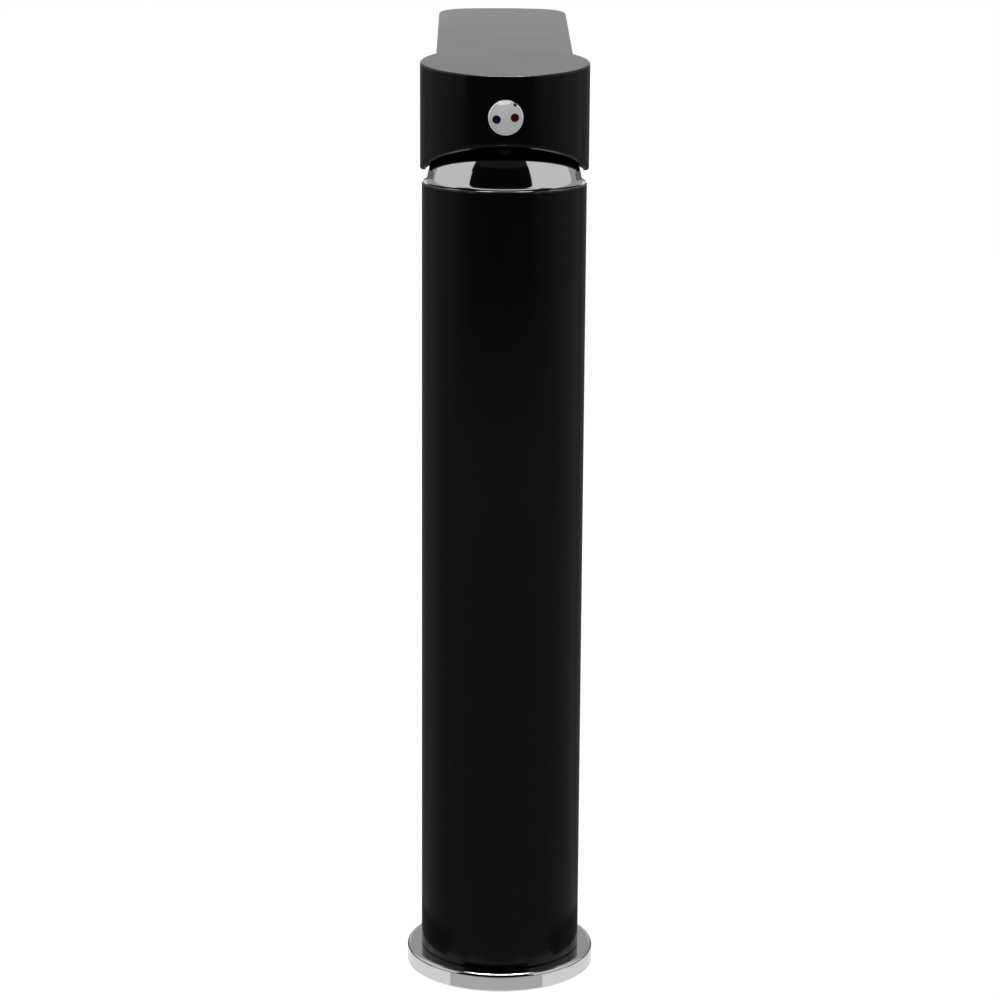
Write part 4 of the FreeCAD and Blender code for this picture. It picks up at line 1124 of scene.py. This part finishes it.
def card_paint(name, level, top_level=None, low=0.0, high=1.0):
    # With a top level, the paint changes from level to it between two heights.
    material = bpy.data.materials.new(name)
    material.use_nodes = True
    tree = material.node_tree
    tree.nodes.remove(tree.nodes["Principled BSDF"])
    glow = add_node(tree, "ShaderNodeEmission")
    if top_level is not None:
        place = add_node(tree, "ShaderNodeTexCoord").outputs["Object"]
        parts = add_node(tree, "ShaderNodeSeparateXYZ")
        join(tree, place, parts.inputs[0])
        level = spread(tree, parts.outputs["Z"], low, high, level, top_level)
    feed(tree, level, glow.inputs["Strength"])
    join(tree, glow.outputs[0], tree.nodes["Material Output"].inputs["Surface"])
    return material


def put_up(bm, name, paint):
    card = to_piece(bm, name, paint)
    for kind in ("camera", "diffuse", "transmission", "volume_scatter", "shadow"):
        setattr(card, "visible_" + kind, False)


def swept_card(name, ends, start, end, steps, paint):
    # An edge is swung round the tap. Each of its ends is a distance and a height, and
    # bearings run from the camera's side, 0, towards +X.
    bm = bmesh.new()
    turn = math.radians(start)
    verts = [bm.verts.new((math.sin(turn) * distance, -math.cos(turn) * distance, height))
             for distance, height in ends]
    edge = bm.edges.new(verts)
    bmesh.ops.spin(
        bm, geom=verts + [edge], cent=origin, axis=upwards, angle=math.radians(end - start),
        steps=steps, use_merge=False, use_duplicate=False)
    put_up(bm, name, paint)


print("card helpers ready")

# %% [markdown]
# ## Cards that stand round the tap
#
# A black card faces the back of the tap from behind the camera, and it gets a
# little lighter towards its top. Two narrow wings carry it on to the left.
# Pale panels stand at the sides and give the tube its light edges. A grey panel
# stands beyond the tap, with a dim band low on it and a pale strip above that
# band, which the flat top of the lever mirrors.

# %% Cards that stand round the tap
front_away = 2.3
side_away = 4.6
rear_away = 4.5
rear_near = 4.4
front_paint = card_paint("front_black", 0.002, top_level=0.011, low=1.85, high=2.05)
wing_paint = card_paint("wing_black", 0.005)
# Each row: name, distance, bearings from and to, heights from and to, paint.
standing_cards = (
    ("front_card", front_away, -54.2, 41.6, 0.0, 4.6, front_paint),
    ("low_wing", front_away, -56.0, -54.0, 1.4, 2.2, wing_paint),
    ("high_wing", front_away, -61.0, -54.0, 2.2, 4.6, wing_paint),
    ("left_panel", side_away, -128.0, -40.0, 0.0, 6.0, card_paint("left_pale", 0.70)),
    ("right_panel", side_away, 28.0, 118.0, 0.0, 6.0, card_paint("right_pale", 0.72)),
    ("rear_panel", rear_away, 118.0, 232.0, 0.0, 6.0, card_paint("rear_grey", 0.386)),
    ("rear_low", rear_near, 134.0, 226.0, 0.0, 0.48, card_paint("rear_dim", 0.15)),
    ("rear_strip", rear_near, 162.0, 198.0, 0.557, 1.58, card_paint("rear_pale", 0.75)),
)
for name, distance, start, end, low, high, paint in standing_cards:
    swept_card(name, ((distance, low), (distance, high)), start, end, 24, paint)
print("standing cards", len(standing_cards))

# %% [markdown]
# ## Cloths on the floor
#
# The foot ring and the lower end of the tube mirror the floor. A pale mat with
# a stepped outline lies right round the foot, wider towards the camera, and a
# dark one beside and beyond it keeps the foot's sides dark. Farther out lies
# grey cloth, and past a metre it is black towards the camera and lighter in
# steps to both sides, so the tube's reflection gets lighter to its edges.

# %% Cloths on the floor
mat_inner = 0.0296
mat_outer = 0.042
cloth_end = 4.7
cloth_height = 0.2 * MM
shade_height = 0.3 * MM
mat_height = 0.4 * MM


def lay_down(name, inner, outer, start, end, height, paint):
    swept_card(name, ((inner, height), (outer, height)), start, end, 48, paint)


lay_down("foot_shade", mat_inner, 0.062, 60.0, 300.0, shade_height, card_paint("foot_dark", 0.07))
mat_pale = card_paint("mat_pale", 0.87)
# Each row: name, outer radius, bearings from and to.
for name, outer, start, end in (
        ("mat_front", mat_outer, -52.0, 52.0),
        ("mat_right_front", 0.0384, 52.0, 82.0),
        ("mat_right", 0.0356, 82.0, 104.0),
        ("mat_rear", 0.0324, 104.0, 256.0),
        ("mat_left", 0.0356, 256.0, 278.0),
        ("mat_left_front", 0.0384, 278.0, 308.0)):
    lay_down(name, mat_inner, outer, start, end, mat_height, mat_pale)
# Each row: name, inner and outer radius, half of its bearings, name and level of the paint.
for name, inner, outer, half, paint_name, level in (
        ("near_cloth", mat_outer, 0.6, 60.0, "cloth_near", 0.17),
        ("pale_cloth", 0.6, 0.85, 60.0, "cloth_pale", 0.2),
        ("dim_cloth", 0.85, 1.05, 60.0, "cloth_dim", 0.16),
        ("front_cloth", 1.05, cloth_end, 41.0, "cloth_black", 0.018)):
    lay_down(name, inner, outer, -half, half, cloth_height, card_paint(paint_name, level))
# Each row: name, level, bearings from and to, the same on both sides.
for name, level, start, end in (
        ("first_step", 0.045, 41.0, 50.0),
        ("second_step", 0.075, 50.0, 64.0),
        ("third_step", 0.12, 64.0, 78.0)):
    step_paint = card_paint(name + "_paint", level)
    lay_down(name + "_left", 1.05, cloth_end, -end, -start, shade_height, step_paint)
    lay_down(name + "_right", 1.05, cloth_end, start, end, shade_height, step_paint)
# Each row: name, outer radius, bearings from and to, name and level of the paint.
for name, outer, start, end, paint_name, level in (
        ("left_cloth", cloth_end, -128.0, -60.0, "cloth_left", 0.17),
        ("right_cloth", cloth_end, 60.0, 128.0, "cloth_right", 0.2),
        ("rear_cloth", 4.6, 128.0, 232.0, "cloth_rear", 0.11)):
    lay_down(name, mat_outer, outer, start, end, cloth_height, card_paint(paint_name, level))
print("floor covered to", cloth_end)

# %% [markdown]
# ## Strips and panels overhead
#
# A rounded edge mirrors a little of everything from the side to straight
# above, so a thin bright strip overhead shows in it as a thin bright line. A
# weak strip hangs in the softbox's place and a strong one higher up, over the
# tap. The wide panel beyond it is what the lever's top mirrors when the lever
# is lifted. A dark card closes the ceiling.

# %% Strips and panels overhead
strip_height = 2.5
ceiling_height = 6.0
ceiling_radius = 5.2


def flat_card(name, width, depth, middle, level):
    bm = bmesh.new()
    bmesh.ops.create_grid(
        bm, x_segments=1, y_segments=1, size=0.5,
        matrix=Matrix.Translation(middle) @ Matrix.Diagonal((width, depth, 1.0, 1.0)))
    put_up(bm, name, card_paint(name + "_paint", level))


flat_card("near_strip", 1.6, 0.14, softbox_place, level=1.8)
flat_card("light_strip", 1.2, 0.09, (0.0, 0.005, strip_height), level=200.0)
flat_card("far_panel", 1.4, 1.45, (0.0, 0.775, strip_height), level=8.0)

bm = bmesh.new()
bmesh.ops.create_circle(
    bm, cap_ends=True, cap_tris=False, segments=48, radius=ceiling_radius,
    matrix=Matrix.Translation(upwards * ceiling_height))
put_up(bm, "ceiling_card", card_paint("ceiling_dark", 0.03))

# %% [markdown]
# ## Grey paper before the foot
#
# The side of the foot ring mirrors the floor right before it, and the middle
# of that reflection is grey. So a piece of grey paper lies there, over the
# mat. It touches the ring, and its slanting sides end the grey patch.

# %% Grey paper before the foot
paper_height = 0.5
paper_corners = (
    (-15.6, -25.0), (-27.0, -30.4), (-22.0, -42.0), (20.0, -42.0),
    (22.0, -32.6), (13.2, -26.4), (0.0, -29.8))
bm = bmesh.new()
bm.faces.new([bm.verts.new(Vector((x, y, paper_height)) * MM) for x, y in paper_corners])
put_up(bm, "foot_paper", card_paint("paper_grey", 0.53))

# %% [markdown]
# ## Finish
#
# The view transform is left plain so that a colour renders as it is written.

# %% Finish
bpy.context.scene.view_settings.view_transform = "Standard"
